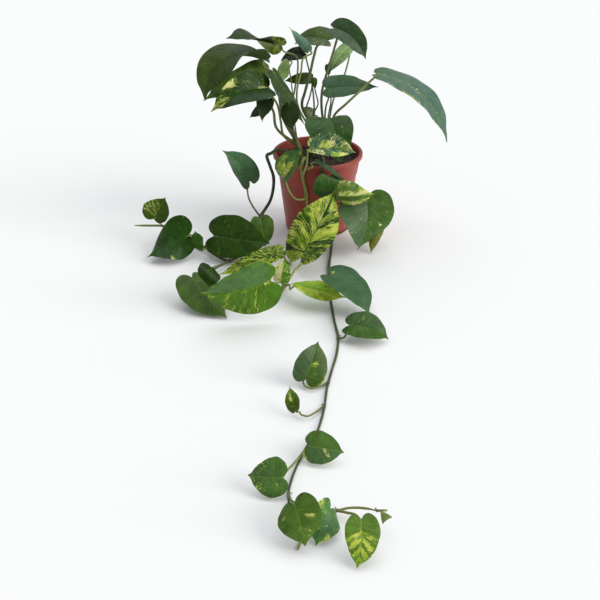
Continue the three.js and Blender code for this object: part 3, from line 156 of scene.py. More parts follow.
    ('crown_stem_right', 4, [(14, 6, 80), (13, 5, 104), (12, 4, 122), (13, 4, 136)], [
        ('leaf_18', 1.4, [(12.8, 4, 134), (9.9, 2, 166.3), (11, -1, 184.8), (14.2, -4, 198.7), (8.3, -10.5, 208.5), (11.4, -14.5, 213.6)]),
        ('leaf_19', 1.3, [(12.8, 4, 134), (17.4, 14, 165.3), (23.4, 34, 185.5), (37.9, 52, 212.4), (44.6, 56, 237.3), (46.9, 57.3, 253.9), (43.8, 53.7, 252.8)]),
        ('leaf_20', 1.1, [(12.1, 3.9, 126), (14.7, 18, 161), (19, 32, 183.1), (17.5, 42, 203.6), (15.2, 43, 217.8), (18.2, 38.8, 235.2), (14.1, 34.6, 234.2)]),
        ('leaf_01', 1.9, [(13, 4, 136), (5.8, 14, 171.2), (5.6, 20, 198.6), (14.9, 16, 236.8), (22.7, 16, 264.6), (25.4, 20, 276), (20.9, 31.1, 280.5), (22.3, 26.2, 285.6)]),
        ('leaf_21', 1.8, [(12.3, 3.9, 128.1), (22, -14, 174.6), (37.4, -34, 198.2), (55.6, -40, 218.2), (70.7, -31, 230), (74.5, -19.1, 229.1), (79.3, -19.8, 235.3)]),
    ]),
]
# Where a blade is variegated (VAR), washed paler blue-green as a painted sheen that stands in for the sky's reflection
# (PAINTED_SHEEN), darkened with painted shade where part of it lies in shade (PAINTED_SHADE) or yellower (WARM). Each
# patch is (side, from, to along the margin, from, to across, strength); side 1 is the right half seen from above, -1
# the left, 0 both. Along runs 0 at the petiole to 1 at the tip, across 0 at the midrib to 1 at the margin.
VAR = {
    "31": [(-1, .6, 1, 0, 1, .52), (-1, .3, .62, 0, 1, .46), (-1, 0, .3, 0, 1, .50), (1, .78, .97, .2, 1, .74), (1, .50, .66, 0, 1, .76), (1, .66, .8, 0, 1, .48), (1, .05, .3, .86, 1, .6), (1, 0, .5, 0, 1, .36)],
    "09": [(1, .58, .72, .5, 1, .66), (1, .45, .58, .3, .7, .36), (0, .80, 1, 0, 1, .42), (0, 0, .5, 0, .1, .5), (1, 0, 1, 0, 1, .22)],
    "28": [(-1, .68, .97, .1, 1, .84), (-1, .2, .8, 0, .35, .78), (1, .3, .85, .55, .97, .78), (-1, .2, .6, .5, 1, .38)],
    "29": [(-1, .50, .60, .35, .65, .34), (-1, .57, .60, .55, .65, .8), (0, 0, 1, 0, 1, .16)],
    "23": [(-1, .03, .26, .7, 1, .66), (1, .03, .26, .7, 1, .66), (-1, .45, .68, 0, .5, .76), (-1, .7, 1, 0, 1, .46), (-1, 0, 1, 0, 1, .30), (1, .25, .5, .2, 1, .50), (1, .55, .85, .4, 1, .74), (1, 0, 1, 0, 1, .27)],
    "25": [(-1, .04, .6, 0, .45, .62), (-1, .1, .7, .3, .8, .46), (1, .85, .95, .5, 1, .8), (1, 0, .7, 0, .6, .5), (0, 0, 1, 0, 1, .2)],
    "39": [(1, .1, .3, .95, 1, .5), (-1, .02, .15, 0, .32, .84), (-1, .15, .3, 0, .16, .7), (-1, .3, .97, 0, 1, .29), (0, .9, 1, 0, 1, .38), (1, 0, 1, 0, 1, .16)],
    "38": [(0, 0, 1, 0, 1, .38), (1, .1, .35, 0, 1, .46), (0, .8, 1, 0, 1, .55)],
    "42": [(-1, .12, .9, 0, 1, .95), (1, 0, 1, 0, 1, .32)],
    "43": [(1, .3, 1, 0, 1, .74), (-1, .3, 1, .6, 1, .5), (0, 0, 1, 0, 1, .36)],
    "07": [(0, .50, .56, 0, .9, .74), (0, .62, .69, 0, .9, .82), (0, .75, .82, 0, .9, .80), (0, .88, .93, 0, 1, .6), (0, .45, .95, 0, 1, .30), (1, .1, .2, 0, .3, .25)],
    "48": [(1, .63, .72, .0, .65, .58), (1, .05, .3, .86, 1, .6), (0, 0, 1, 0, 1, .14)],
    "49": [(0, .6, .98, .2, 1, .29), (-1, .35, .5, .2, .5, .34), (1, .1, .25, .75, 1, .32), (0, 0, 1, 0, 1, .16)],
    "50": [(-1, .50, .58, .25, .75, .56), (1, .38, .46, .5, .85, .54), (0, .7, .95, 0, 1, .28), (1, .8, .9, .9, 1, .5)],
    "51": [(-1, .68, .92, .5, 1, .62), (1, .25, .42, .7, 1, .62), (0, 0, 1, 0, 1, .26)],
    "34": [(0, 0, 1, 0, 1, .14), (-1, .55, .64, .7, 1, .5), (1, .2, .3, .85, 1, .35)],
    "46": [(1, .52, .70, .0, .45, .44), (1, .2, .5, .9, 1, .5), (1, .3, .55, .1, .8, .24), (0, 0, 1, 0, 1, .14)],
    "47": [(-1, .6, .85, 0, .5, .62), (0, 0, 1, 0, 1, .2)],
    "05": [(0, 0, .45, 0, 1, .42), (1, .1, .5, .2, 1, .78)],
    "22": [(-1, .5, .7, .3, .5, .45), (0, 0, 1, 0, 1, .10)],
    "30": [(-1, .15, .4, .3, 1, .7)],
    "33": [(-1, .3, .8, 0, 1, .34), (0, 0, 1, 0, 1, .16)],
    "21": [(0, .1, .9, 0, .15, .3), (1, .3, .9, .8, 1, .35), (0, 0, 1, 0, 1, .20)],
    "02": [(0, 0, 1, 0, 1, .15), (-1, .2, .8, .3, 1, .3)],
    "03": [(0, 0, 1, 0, 1, .22), (0, .85, 1, 0, 1, .6)],
    "44": [(-1, .1, .2, .3, .6, .6), (0, 0, 1, 0, 1, .1)],
    "45": [(0, 0, 1, 0, 1, .2)],
    "26": [(0, 0, 1, 0, 1, .12)],
    "18": [(0, 0, 1, 0, 1, .14)],
    "01": [(0, 0, 1, 0, 1, .1)],
    "14": [(0, 0, 1, 0, 1, .14)],
    "32": [(0, 0, 1, 0, 1, .1)],
    "36": [(0, 0, 1, 0, 1, .13)],
    "40": [(0, 0, 1, 0, 1, .12)],
}
PAINTED_SHEEN = {
    "09": [(-1, 0, .9, .3, 1, .5)], "29": [(1, 0, 1, 0, 1, .55)], "39": [(1, .2, .9, 0, .9, .5)],
    "48": [(1, 0, 1, 0, 1, .4)], "51": [(-1, 0, 1, 0, 1, .45)], "34": [(-1, .55, .85, 0, 1, .5)],
    "46": [(-1, 0, 1, 0, 1, .45)], "05": [(0, 0, 1, .5, 1, .4)], "02": [(-1, 0, 1, 0, 1, .7)],
    "45": [(-1, 0, 1, 0, 1, .45)], "01": [(1, 0, 1, 0, 1, .45)], "18": [(-1, 0, .4, .2, 1, .9), (0, 0, 1, 0, 1, .3)],
    "21": [(0, .3, 1, 0, 1, .75)], "44": [(0, 0, 1, 0, 1, .5)], "32": [(0, 0, 1, 0, 1, .5)],
    "23": [(0, 0, 1, 0, 1, .3)], "03": [(0, 0, .9, 0, 1, .55)], "40": [(0, 0, 1, 0, 1, .3)],
    "10": [(0, 0, 1, 0, 1, .3)], "06": [(0, 0, .35, 0, 1, .5)], "26": [(0, 0, 1, 0, 1, .5)], "17": [(0, 0, 1, 0, 1, .3)],
}
# painted shade: the parts of these blades that lie in shade are painted darker
PAINTED_SHADE = {
    "28": [(1, .2, .8, .1, .5, .5)], "06": [(-1, .3, 1, 0, 1, .45)], "01": [(-1, 0, 1, 0, 1, .4)],
    "48": [(1, 0, 1, 0, 1, .3)],
}
WARM = {
    "21": [(0, 0, .3, 0, 1, .7)], "50": [(-1, 0, 1, 0, 1, .5)], "02": [(1, 0, 1, 0, 1, .5)], "31": [(0, 0, 1, 0, 1, .4)],
    "28": [(0, 0, 1, 0, 1, .2)], "46": [(1, 0, 1, 0, 1, .3)], "48": [(-1, 0, 1, 0, 1, .4)],
    "39": [(-1, 0, 1, 0, 1, .4)],
}

# Ground colour of each blade's upper side: green, then red and blue as shares of it. They are set blade by blade to how
# light or dark each blade shows, so the darkest, such as 04 deep in the crown, hold painted shade besides the leaf's
# own green.
TONE = {
    "01": (0.084, 0.44, 0.33), "02": (0.083, 0.49, 0.1), "03": (0.155, 0.39, 0.61), "04": (0.012, 0.33, 0.07), "05": (0.033, 0.37, 0.05), "06": (0.071, 0.57, 0.14),
    "07": (0.172, 0.48, 0.1), "08": (0.13, 0.5, 0.09), "09": (0.04, 0.3, 0.04), "10": (0.058, 0.44, 0.14), "11": (0.046, 0.49, 0.29), "12": (0.042, 0.58, 0.38),
    "13": (0.032, 0.41, 0.09), "14": (0.5, 0.65, 0.34), "15": (0.054, 0.49, 0.05), "16": (0.097, 0.43, 0.13), "17": (0.195, 0.79, 0.47), "18": (0.099, 0.36, 0.35),
    "19": (0.4, 0.62, 0.42), "20": (0.078, 0.26, 0.29), "21": (0.125, 0.37, 0.56), "22": (0.074, 0.36, 0.16), "23": (0.093, 0.2, 0.31), "24": (0.216, 0.68, 0.23),
    "25": (0.134, 0.38, 0.22), "26": (0.073, 0.46, 0.29), "27": (0.096, 0.37, 0.15), "28": (0.155, 0.47, 0.14), "29": (0.102, 0.4, 0.11), "30": (0.128, 0.85, 0.08),
    "31": (0.042, 0.2, 0.02), "32": (0.176, 0.36, 0.33), "33": (0.061, 0.44, 0.02), "34": (0.052, 0.22, 0.02), "35": (0.084, 0.31, 0.02), "36": (0.047, 0.33, 0.02),
    "37": (0.162, 0.49, 0.15), "38": (0.032, 0.2, 0.03), "39": (0.148, 0.35, 0.04), "40": (0.111, 0.43, 0.02), "41": (0.037, 0.29, 0.02), "42": (0.205, 0.32, 0.02),
    "43": (0.345, 0.43, 0.02), "44": (0.089, 0.28, 0.2), "45": (0.087, 0.34, 0.06), "46": (0.088, 0.43, 0.14), "47": (0.096, 0.47, 0.05), "48": (0.137, 0.42, 0.18),
    "49": (0.126, 0.42, 0.2), "50": (0.121, 0.46, 0.13), "51": (0.145, 0.31, 0.19),
}
# Underside, where it is what shows: same three numbers. The rest take theirs from the upper side.
UNDER = {}
CREAM = {"28": .75, "42": .9, "23": .7, "09": .6, "31": .2, "48": .55, "07": .08, "43": .1, "39": .05, "38": .0, "25": .3, "46": .25, "50": .3, "49": .2, "21": .6}
VEINED = {"06": 1.0, "22": .7, "07": .6, "40": .6, "39": .5, "21": .5, "50": .6, "10": .6}
# A blade that twists right over and is as dark and glossy below as above where it shows.
SAME_BELOW = {"05"}

HALF_OUTLINE = [(0, 0), (.07, -.075), (.22, -.150), (.42, -.175), (.64, -.135), (.84, -.035), (.965, .10), (1, .25),
                (.955, .41), (.83, .56), (.64, .70), (.42, .815), (.22, .90), (.09, .955), (0, 1)]
VEIN_FOOT = [(0, 0), (.10, .015), (.2, .04), (.32, .10), (.45, .22), (.6, .40), (.75, .60), (.88, .80), (.96, .93), (1, 1)]


def smooth(lo, hi, x):
    s = np.clip((np.asarray(x, float) - lo) / (hi - lo), 0, 1)
    return s * s * (3 - 2 * s)


def unit(v):
    v = np.asarray(v, float)
    return v / np.linalg.norm(v, axis=-1, keepdims=True)


_P = np.array(HALF_OUTLINE, float)
_U = np.concatenate([[0], np.cumsum(np.hypot(np.diff(_P[:, 0]) * .45, np.diff(_P[:, 1])))])
_U /= _U[-1]
_S = np.empty_like(_P)
_S[1:-1] = (_P[2:] - _P[:-2]) / (_U[2:] - _U[:-2])[:, None]
_S[0] = (_P[1] - _P[0]) / (_U[1] - _U[0])
_S[-1] = (_P[-1] - _P[-2]) / (_U[-1] - _U[-2])


def outline(u):
    i = np.clip(np.searchsorted(_U, u, side="right") - 1, 0, len(_U) - 2)
    h = (_U[i + 1] - _U[i])
    s = (u - _U[i]) / h
    s2, s3 = s * s, s * s * s
    return ((2 * s3 - 3 * s2 + 1)[:, None] * _P[i] + (s3 - 2 * s2 + s)[:, None] * h[:, None] * _S[i]
            + (3 * s2 - 2 * s3)[:, None] * _P[i + 1] + (s3 - s2)[:, None] * h[:, None] * _S[i + 1])


def vein_foot(u):
    a = np.array(VEIN_FOOT)
    return np.interp(u, a[:, 0], a[:, 1])


class Blade:
    """The curved sheet of one leaf: flat outline coordinates to points in millimetres."""

    def __init__(self, row):
        self.name, b, t, n, self.ratio, bend, arch, twist, fold, self.sym, self.curl, self.lobes = row
        self.B, T, N = np.array(b, float), np.array(t, float), np.array(n, float)
        chord = T - self.B
        length = np.linalg.norm(chord)
        self.c = chord / length
        self.n = unit(N - self.c * (N @ self.c))
        s = np.cross(self.c, self.n)
        self.be = .002 if abs(bend) < .1 else math.radians(bend)
        self.arc = length * (self.be / 2) / math.sin(self.be / 2)
        self.half = .5 * self.ratio * self.arc
        g = math.radians(arch)
        self.g = g
        self.a = math.cos(g) * self.n + math.sin(g) * s
        self.b = np.cross(self.c, self.a)
        self.tw, self.fold = math.radians(twist), math.radians(fold)

    def at(self, x, y, side, off):
        ps = self.be * (y - .5)
        R = self.arc / self.be
        sn, cs = np.sin(ps)[:, None], np.cos(ps)[:, None]
        p = self.B + R * ((sn + math.sin(self.be / 2)) * self.c + (cs - math.cos(self.be / 2)) * self.a)
        t = cs * self.c - sn * self.a
        a2 = sn * self.c + cs * self.a
        n0 = math.cos(self.g) * a2 - math.sin(self.g) * self.b
        s0 = np.cross(t, n0)
        tau = (self.tw * (y - .5))[:, None]
        nv = np.cos(tau) * n0 + np.sin(tau) * s0
        sv = np.cross(t, nv)
        w = x * self.half * (1 + side * self.sym)
        up = w * math.sin(self.fold) - self.curl * w * w / self.half * .5
        return p + sv * (side * w * math.cos(self.fold))[:, None] + nv * (up + off)[:, None]


def patch_mask(patches, u, t, side):
    q = u + .15 * (1 - t) ** 1.15 * smooth(0, .35, u) * (1 - .55 * u) - .045  # along slants with the side veins
    m = np.zeros_like(u)
    for s, u0, u1, t0, t1, k in patches:
        du, dt = np.clip((u1 - u0) * .6, .018, .07), np.clip((t1 - t0) * .5, .06, .18)
        w = np.ones_like(u)
        if u0 > 0: w *= smooth(u0 - du, u0 + du, q)
        if u1 < 1: w *= 1 - smooth(u1 - du, u1 + du, q)
        if t0 > 0: w *= smooth(t0 - dt, t0 + dt, t)
        if t1 < 1: w *= 1 - smooth(t1 - dt, t1 + dt, t)
        if s: w = w * np.where(side == s, 1, np.where(t < .02, .5, 0))
        m = np.maximum(m, k * w)
    return m


T_COLUMNS = np.array([0, .018, .042, .075, .12, .18, .25, .33, .42, .51, .60, .69, .78, .86, .93, .975, 1])


def make_mesh(name, verts, faces, attributes=None, sharp=None, uv=None):
    me = bpy.data.meshes.new(name)
    me.from_pydata([tuple(v) for v in verts], [], faces)
    me.update()
    me.polygons.foreach_set("use_smooth", np.ones(len(me.polygons), bool))
    for key, val in (attributes or {}).items():
        val = np.asarray(val, np.float32)
        kind = "FLOAT_VECTOR" if val.ndim == 2 else "FLOAT"
        at = me.attributes.new(key, kind, "POINT")
        at.data.foreach_set("vector" if val.ndim == 2 else "value", val.ravel())
    if sharp is not None:  # an edge is sharp where both its ends carry the same non-zero mark
        ev = np.empty(len(me.edges) * 2, np.int32)
        me.edges.foreach_get("vertices", ev)
        ev = ev.reshape(-1, 2)
        sharp = np.asarray(sharp)
        mark = (sharp[ev[:, 0]] == sharp[ev[:, 1]]) & (sharp[ev[:, 0]] != 0)
        at = me.attributes.new("sharp_edge", "BOOLEAN", "EDGE")
        at.data.foreach_set("value", mark)
    if uv is not None:
        layer = me.uv_layers.new(name="OFBake")
        layer.data.foreach_set("uv", np.asarray(uv, np.float32).ravel())
    ob = bpy.data.objects.new(name, me)
    bpy.context.scene.collection.objects.link(ob)
    return ob


def leaf_object(index, row):
    bl = Blade(row)
    key = row[0][-2:]
    rng = np.random.default_rng(1000 + index)
    L = bl.arc
    nu = int(np.clip(round(L * .75 + 24), 44, 96))
    tc = T_COLUMNS if L > 45 else T_COLUMNS[[0, 1, 2, 4, 5, 6, 7, 8, 9, 10, 12, 13, 14, 15, 16]]
    nt = len(tc) - 1
    u = np.linspace(0, 1, nu + 1)
    u = u + .012 * np.sin(2 * np.pi * u)  # a little closer together towards the base
    veins = 12 if L > 100 else 10 if L > 70 else 8 if L > 40 else 7
    phase = rng.uniform(-.25, .25, 2)
    wave = rng.uniform(0, 6.28, 6)
    size = min(1.0, L / 70)
    gap = .3 * size + .16
    keep = {}
    rows = {}
    pts, vein, blade, masks, sharp, flat2 = [], [], [], [], [], []

    def block(uu, tt, side, face):
        e = outline(uu)
        vm = vein_foot(uu)
        k = 0 if side < 0 else 1
        wob = 1 + .018 * np.sin(2 * np.pi * (2.3 * uu) + wave[k]) * smooth(.05, .2, uu) + .010 * np.sin(2 * np.pi * 5.1 * uu + wave[k + 2])
        x = e[:, 0] * tt * (1 + (wob - 1) * tt)
        y = vm * (1 - tt) + np.where(e[:, 1] < 0, e[:, 1] * bl.lobes, e[:, 1]) * tt + .10 * tt * (1 - tt) * np.minimum(1, 4.8 * uu * (1 - uu))
        x = x * (1 - .30 * smooth(.83, .955, y) * (1 - smooth(.985, 1.0, y) * .5))
        y = y + .030 * smooth(.86, 1.0, y) ** 2
        w = x * bl.half
        ph = veins * (uu + .15 * (1 - tt) ** 1.15 * smooth(0, .35, uu) * (1 - .55 * uu)) + phase[k] * np.minimum(1, tt * 8)
        # the sheet: sunk at the midrib and the side veins, full between them, gently waved at the margin
        s = np.abs(np.sin(np.pi * ph))
        quilt = (s ** .8 - .62) * (.30 * size + .05) * smooth(.02, .16, tt) * (1 - .75 * smooth(.6, 1, tt)) * smooth(.02, .10, uu) * (1 - .6 * smooth(.8, 1, uu))
        groove = -(.42 * size + .08) * np.exp(-(w / (.9 * size + .3)) ** 2) * (1 - .7 * smooth(.5, 1, y))
        margin = (tt ** 3) * L * .0085 * (np.sin(2 * np.pi * 2.6 * uu + wave[k + 4]) + .45 * np.sin(2 * np.pi * 6.3 * uu + wave[k])) * smooth(.03, .15, uu) * (1 - smooth(.85, 1, uu))
        thick = (.26 * size + .07) * (1 - .58 * smooth(.5, 1, tt))
        rib = (.55 * size + .18) * np.exp(-(w / (.95 * size + .25)) ** 2) * (1 - .8 * smooth(.3, 1, y))
        side_rib = (.16 * size + .03) * np.maximum(0, 1 - s * 3.2) * smooth(.02, .1, tt) * (1 - smooth(.55, .95, tt))
        off = quilt + groove + margin + (thick if face > 0 else -thick - rib - side_rib)
        p = bl.at(x, y, np.full_like(x, side), off)
        base = len(pts)
        pts.extend(p)
        st = tt * side
        vein.extend(np.column_stack([ph, st, np.full_like(x, face)]))
        blade.extend(np.column_stack([side * w * MM, y * L * MM, uu]))
        sd = np.full_like(x, side)
        v = patch_mask(VAR.get(key, []), uu, tt, sd)
        # the PAINTED_SHEEN mask says where a painted sky sheen goes, the PAINTED_SHADE mask where painted shade goes;
        # both ride in the masks attribute
        sheen_mask = patch_mask(PAINTED_SHEEN.get(key, []), uu, tt, sd)
        dk = patch_mask(PAINTED_SHADE.get(key, []), uu, tt, sd)
        wm = patch_mask(WARM.get(key, []), uu, tt, sd)
        masks.extend(np.column_stack([v, sheen_mask, dk]))
        keep.setdefault("warm", []).extend(wm)
        sharp.extend(np.where(tt > .999, 1 if face > 0 else 2, 0))
        flat2.extend(np.column_stack([side * x, y]))
        return base

    # vertices: for each face, a midrib column, then for each side rows u[1..nu-1] by columns t[1..nt]
    grid = {}
    for face in (1, -1):
        b0 = block(u, np.zeros_like(u), 1, face)
        mid = b0 + np.arange(nu + 1)
        for side in (1, -1):
            uu, tt = np.meshgrid(u[1:-1], tc[1:], indexing="ij")
            b1 = block(uu.ravel(), tt.ravel(), side, face)
            g = np.empty((nu + 1, nt + 1), int)
            g[:, 0] = mid
            g[0, :] = mid[0]
            g[-1, :] = mid[-1]
            g[1:-1, 1:] = b1 + np.arange((nu - 1) * nt).reshape(nu - 1, nt)
            grid[(face, side)] = g
    faces, fuv = [], []
    pts = np.array(pts)
    flat2 = np.array(flat2)
    lo, hi = flat2.min(0), flat2.max(0)

    def tex(i, face, edge=0.0):
        fx = (flat2[i, 0] - lo[0]) / (hi[0] - lo[0])
        fy = (flat2[i, 1] - lo[1]) / (hi[1] - lo[1])
        return ((.012 + .466 * fx + edge if face > 0 else .522 + .466 * fx + edge), .01 + .97 * fy)

    for (face, side), g in grid.items():
        for i in range(nu):
            for j in range(nt):
                q = [g[i, j], g[i, j + 1], g[i + 1, j + 1], g[i + 1, j]]
                q = [a for n, a in enumerate(q) if a not in q[:n]]
                if len(q) < 3: continue
                if (side > 0) != (face > 0): q = q[::-1]
                faces.append([int(a) for a in q])
                fuv.extend(tex(a, face) for a in q)
    for side in (1, -1):
        up, dn = grid[(1, side)][:, -1], grid[(-1, side)][:, -1]
        for i in range(nu):
            q = [up[i], dn[i], dn[i + 1], up[i + 1]]
            e = [0, .004 * side, .004 * side, 0]
            if side < 0: q, e = q[::-1], e[::-1]
            faces.append([int(a) for a in q])
            fuv.extend(tex(a, 1, k) for a, k in zip(q, e))
    pts[:, 2] = np.maximum(pts[:, 2], .15)
    ob = make_mesh(f"blade_{key}", pts * MM, faces,
                   {"vein": vein, "blade": blade, "masks": masks, "warmth": keep["warm"]}, sharp, fuv)
    return ob, bl


# ---- node trees -------------------------------------------------------------------------
class Tree:
    def __init__(self, name):
        self.mat = bpy.data.materials.new(name)
        self.mat.use_nodes = True
        self.t = self.mat.node_tree
        self.t.nodes.clear()
        self.out = self.t.nodes.new("ShaderNodeOutputMaterial")

    def put(self, sock, v):
        if isinstance(v, bpy.types.NodeSocket):
            self.t.links.new(v, sock)
        elif v is not None:
            sock.default_value = (*v, 1) if isinstance(v, tuple) and len(v) == 3 and sock.type == "RGBA" else v

    def node(self, kind, inputs=None, **props):
        n = self.t.nodes.new(kind)
        for k, v in props.items(): setattr(n, k, v)
        for k, v in (inputs or {}).items(): self.put(n.inputs[k], v)
        return n

    def math(self, op, a, b=None, c=None, clamp=False):
        n = self.node("ShaderNodeMath", operation=op, use_clamp=clamp)
        for i, v in enumerate((a, b, c)): self.put(n.inputs[i], v)
        return n.outputs[0]

    def mix(self, fac, a, b, blend="MIX"):
        n = self.node("ShaderNodeMix", data_type="RGBA", blend_type=blend)
        self.put(n.inputs[0], fac); self.put(n.inputs[6], a); self.put(n.inputs[7], b)
        return n.outputs[2]

    def step(self, value, lo, hi, a=0.0, b=1.0):
        n = self.node("ShaderNodeMapRange", interpolation_type="SMOOTHSTEP")
        for k, v in (("Value", value), ("From Min", lo), ("From Max", hi), ("To Min", a), ("To Max", b)): self.put(n.inputs[k], v)
        return n.outputs[0]

    def attr(self, name):
        return self.node("ShaderNodeAttribute", attribute_name=name, attribute_type="GEOMETRY")

    def xyz(self, vec):
        n = self.node("ShaderNodeSeparateXYZ", {0: vec})
        return n.outputs[0], n.outputs[1], n.outputs[2]

    def vec(self, x, y, z):
        n = self.node("ShaderNodeCombineXYZ")
        for i, v in enumerate((x, y, z)): self.put(n.inputs[i], v)
        return n.outputs[0]

    def noise(self, vec, scale, detail=2.0, rough=.5, distort=0.0):
        n = self.node("ShaderNodeTexNoise", {"Vector": vec, "Scale": scale, "Detail": detail, "Roughness": rough, "Distortion": distort})
        return n.outputs[0]

    def finish(self, color, rough, normal=None, **sockets):
        p = self.node("ShaderNodeBsdfPrincipled")
        self.put(p.inputs["Base Color"], color)
        self.put(p.inputs["Roughness"], rough)
        if normal is not None: self.put(p.inputs["Normal"], normal)
        for k, v in sockets.items(): p.inputs[k.replace("_", " ")].default_value = v
        self.t.links.new(p.outputs[0], self.out.inputs["Surface"])
        return self.mat


def green(tone, k=1.0):
    g, r, b = tone
    return (g * r * k, g * k, g * b * k)


def leaf_material(key, index):
    tone = TONE[key]
    under = UNDER.get(key)
    cream = CREAM.get(key, .4)
    lined = VEINED.get(key, .35)
    T = Tree(f"leaf_{key}_finish")
    ph, st, fc = T.xyz(T.attr("vein").outputs["Vector"])
    bx, by, bu = T.xyz(T.attr("blade").outputs["Vector"])
    # masks: variegation, painted sky sheen, painted shade
    mv, sheen_paint, shade_paint = T.xyz(T.attr("masks").outputs["Vector"])
    warm = T.attr("warmth").outputs["Fac"]
    flat = T.attr("blade").outputs["Vector"]
    at = T.math("ABSOLUTE", st)
    ab = T.math("ABSOLUTE", bx)
    seed = float(index) * 3.7
    half = T.math("MULTIPLY", T.step(st, -.001, .001), 40.0)  # the two halves vary apart
    # ground green, clouded at two sizes
    cloud = T.noise(T.vec(T.math("MULTIPLY", bx, 1.0), by, seed), 70.0, 3.0, .55)
    base = T.mix(T.step(cloud, .32, .68), green(tone, .68), green((tone[0] * 1.34, tone[1] * 1.04, tone[2] * .95)))
    base = T.mix(T.math("MULTIPLY", warm, .7), base, green((tone[0] * 1.15, tone[1] * 1.22, tone[2] * .62)))
    # painted sheen: a paler blue-green where the blade would mirror the bright sky
    base = T.mix(T.math("MULTIPLY", sheen_paint, .62), base, (tone[0] * .78, tone[0] * 1.16, tone[0] * 1.02))
    # painted shade: darker where part of the blade lies in shade
    base = T.mix(T.math("MULTIPLY", shade_paint, .75), base, green(tone, .42))
    # fine streaks that follow the side veins
    fine = T.noise(T.vec(T.math("MULTIPLY", ph, 5.5), T.math("ADD", T.math("MULTIPLY", st, 1.7), half), seed), 1.0, 3.0, .6)
    base = T.mix(T.step(fine, .38, .72, 0.0, .42), base, green((tone[0] * 1.55, tone[1] * 1.08, tone[2])))
    base = T.mix(T.step(fine, .52, .30, 0.0, .36), base, green(tone, .55))
    # side veins: a thin darker line with a lighter flank, fading out before the margin
    line = T.math("PINGPONG", ph, .5)
    near = T.step(line, .075, .0)
    flank = T.math("MULTIPLY", T.step(line, .2, .09), T.step(line, .02, .08))
    fade = T.math("MULTIPLY", T.step(at, .95, .35), T.step(at, .0, .05))
    base = T.mix(T.math("MULTIPLY", T.math("MULTIPLY", near, fade), lined), base, green(tone, .45))
    base = T.mix(T.math("MULTIPLY", T.math("MULTIPLY", flank, fade), lined * .45), base, green((tone[0] * 1.7, tone[1] * 1.05, tone[2])))
    # variegation: marbled streaks along the veins, as dense as the painted masks say
    warp = T.noise(T.vec(T.math("MULTIPLY", ph, .9), T.math("ADD", T.math("MULTIPLY", st, 2.2), half), seed + 71), 1.0, 2.0, .5)
    phw = T.math("ADD", ph, T.math("MULTIPLY_ADD", warp, 1.1, -.55))
    n1 = T.noise(T.vec(T.math("MULTIPLY", phw, 1.9), T.math("ADD", T.math("MULTIPLY", st, 1.5), half), seed + 11), 1.0, 3.0, .62)
    n2 = T.noise(T.vec(T.math("MULTIPLY", phw, 13.0), T.math("ADD", T.math("MULTIPLY", st, 2.6), half), seed + 23), 1.0, 4.0, .66)
    n = T.math("ADD", T.math("MULTIPLY", n1, 1.2), T.math("MULTIPLY", n2, 3.0))
    n = T.math("ADD", n, -1.6)
    d = T.math("ADD", T.math("ADD", n, T.math("MULTIPLY_ADD", mv, 1.18, -1.04)), T.step(mv, .45, .05, 0.0, -.34))
    gate = T.step(mv, .02, .10)
    var = T.math("MULTIPLY", T.step(d, -.03, .07), gate)
    halo = T.math("MULTIPLY", T.step(d, -.34, .02), gate)
    hue = T.noise(T.vec(T.math("MULTIPLY", phw, 1.3), T.math("ADD", T.math("MULTIPLY", st, 1.6), half), seed + 37), 1.0, 2.0, .5)
    lime, yellow, pale = (.22, .36, .018), (.48, .56, .065), (.66, .62, .27)
    colour = T.mix(T.step(T.math("ADD", hue, T.math("MULTIPLY", T.math("SUBTRACT", n2, .5), .7)), .36, .60), lime, yellow)
    colour = T.mix(T.math("MULTIPLY", T.step(T.math("ADD", hue, T.math("MULTIPLY", T.math("SUBTRACT", n2, .5), .6)), .60 - .28 * cream, .80 - .28 * cream), min(1.0, .35 + cream)), colour, pale)
    upper = T.mix(T.math("MULTIPLY", halo, .60), base, green((max(tone[0] * 1.35, .17), .58, .14)))
    upper = T.mix(var, upper, colour)
    # scattered flecks
    spec = T.noise(T.vec(T.math("MULTIPLY", ph, 9.0), T.math("ADD", T.math("MULTIPLY", st, 6.5), half), seed + 51), 1.0, 2.0, .5)
    fleck = T.math("MULTIPLY", T.step(spec, .70, .75), T.step(mv, .04, .16))
    upper = T.mix(T.math("MULTIPLY", fleck, .8), upper, (.42, .50, .14))
    # midrib
    wide = T.math("MULTIPLY_ADD", by, -.0045, .0006)
    wide = T.math("MAXIMUM", wide, .00016)
    rib = T.step(T.math("DIVIDE", ab, wide), 1.6, .5)
    upper = T.mix(T.math("MULTIPLY", rib, .55), upper, green((tone[0] * 1.7 + .02, min(.86, tone[1] * 1.25), tone[2] * .8)))
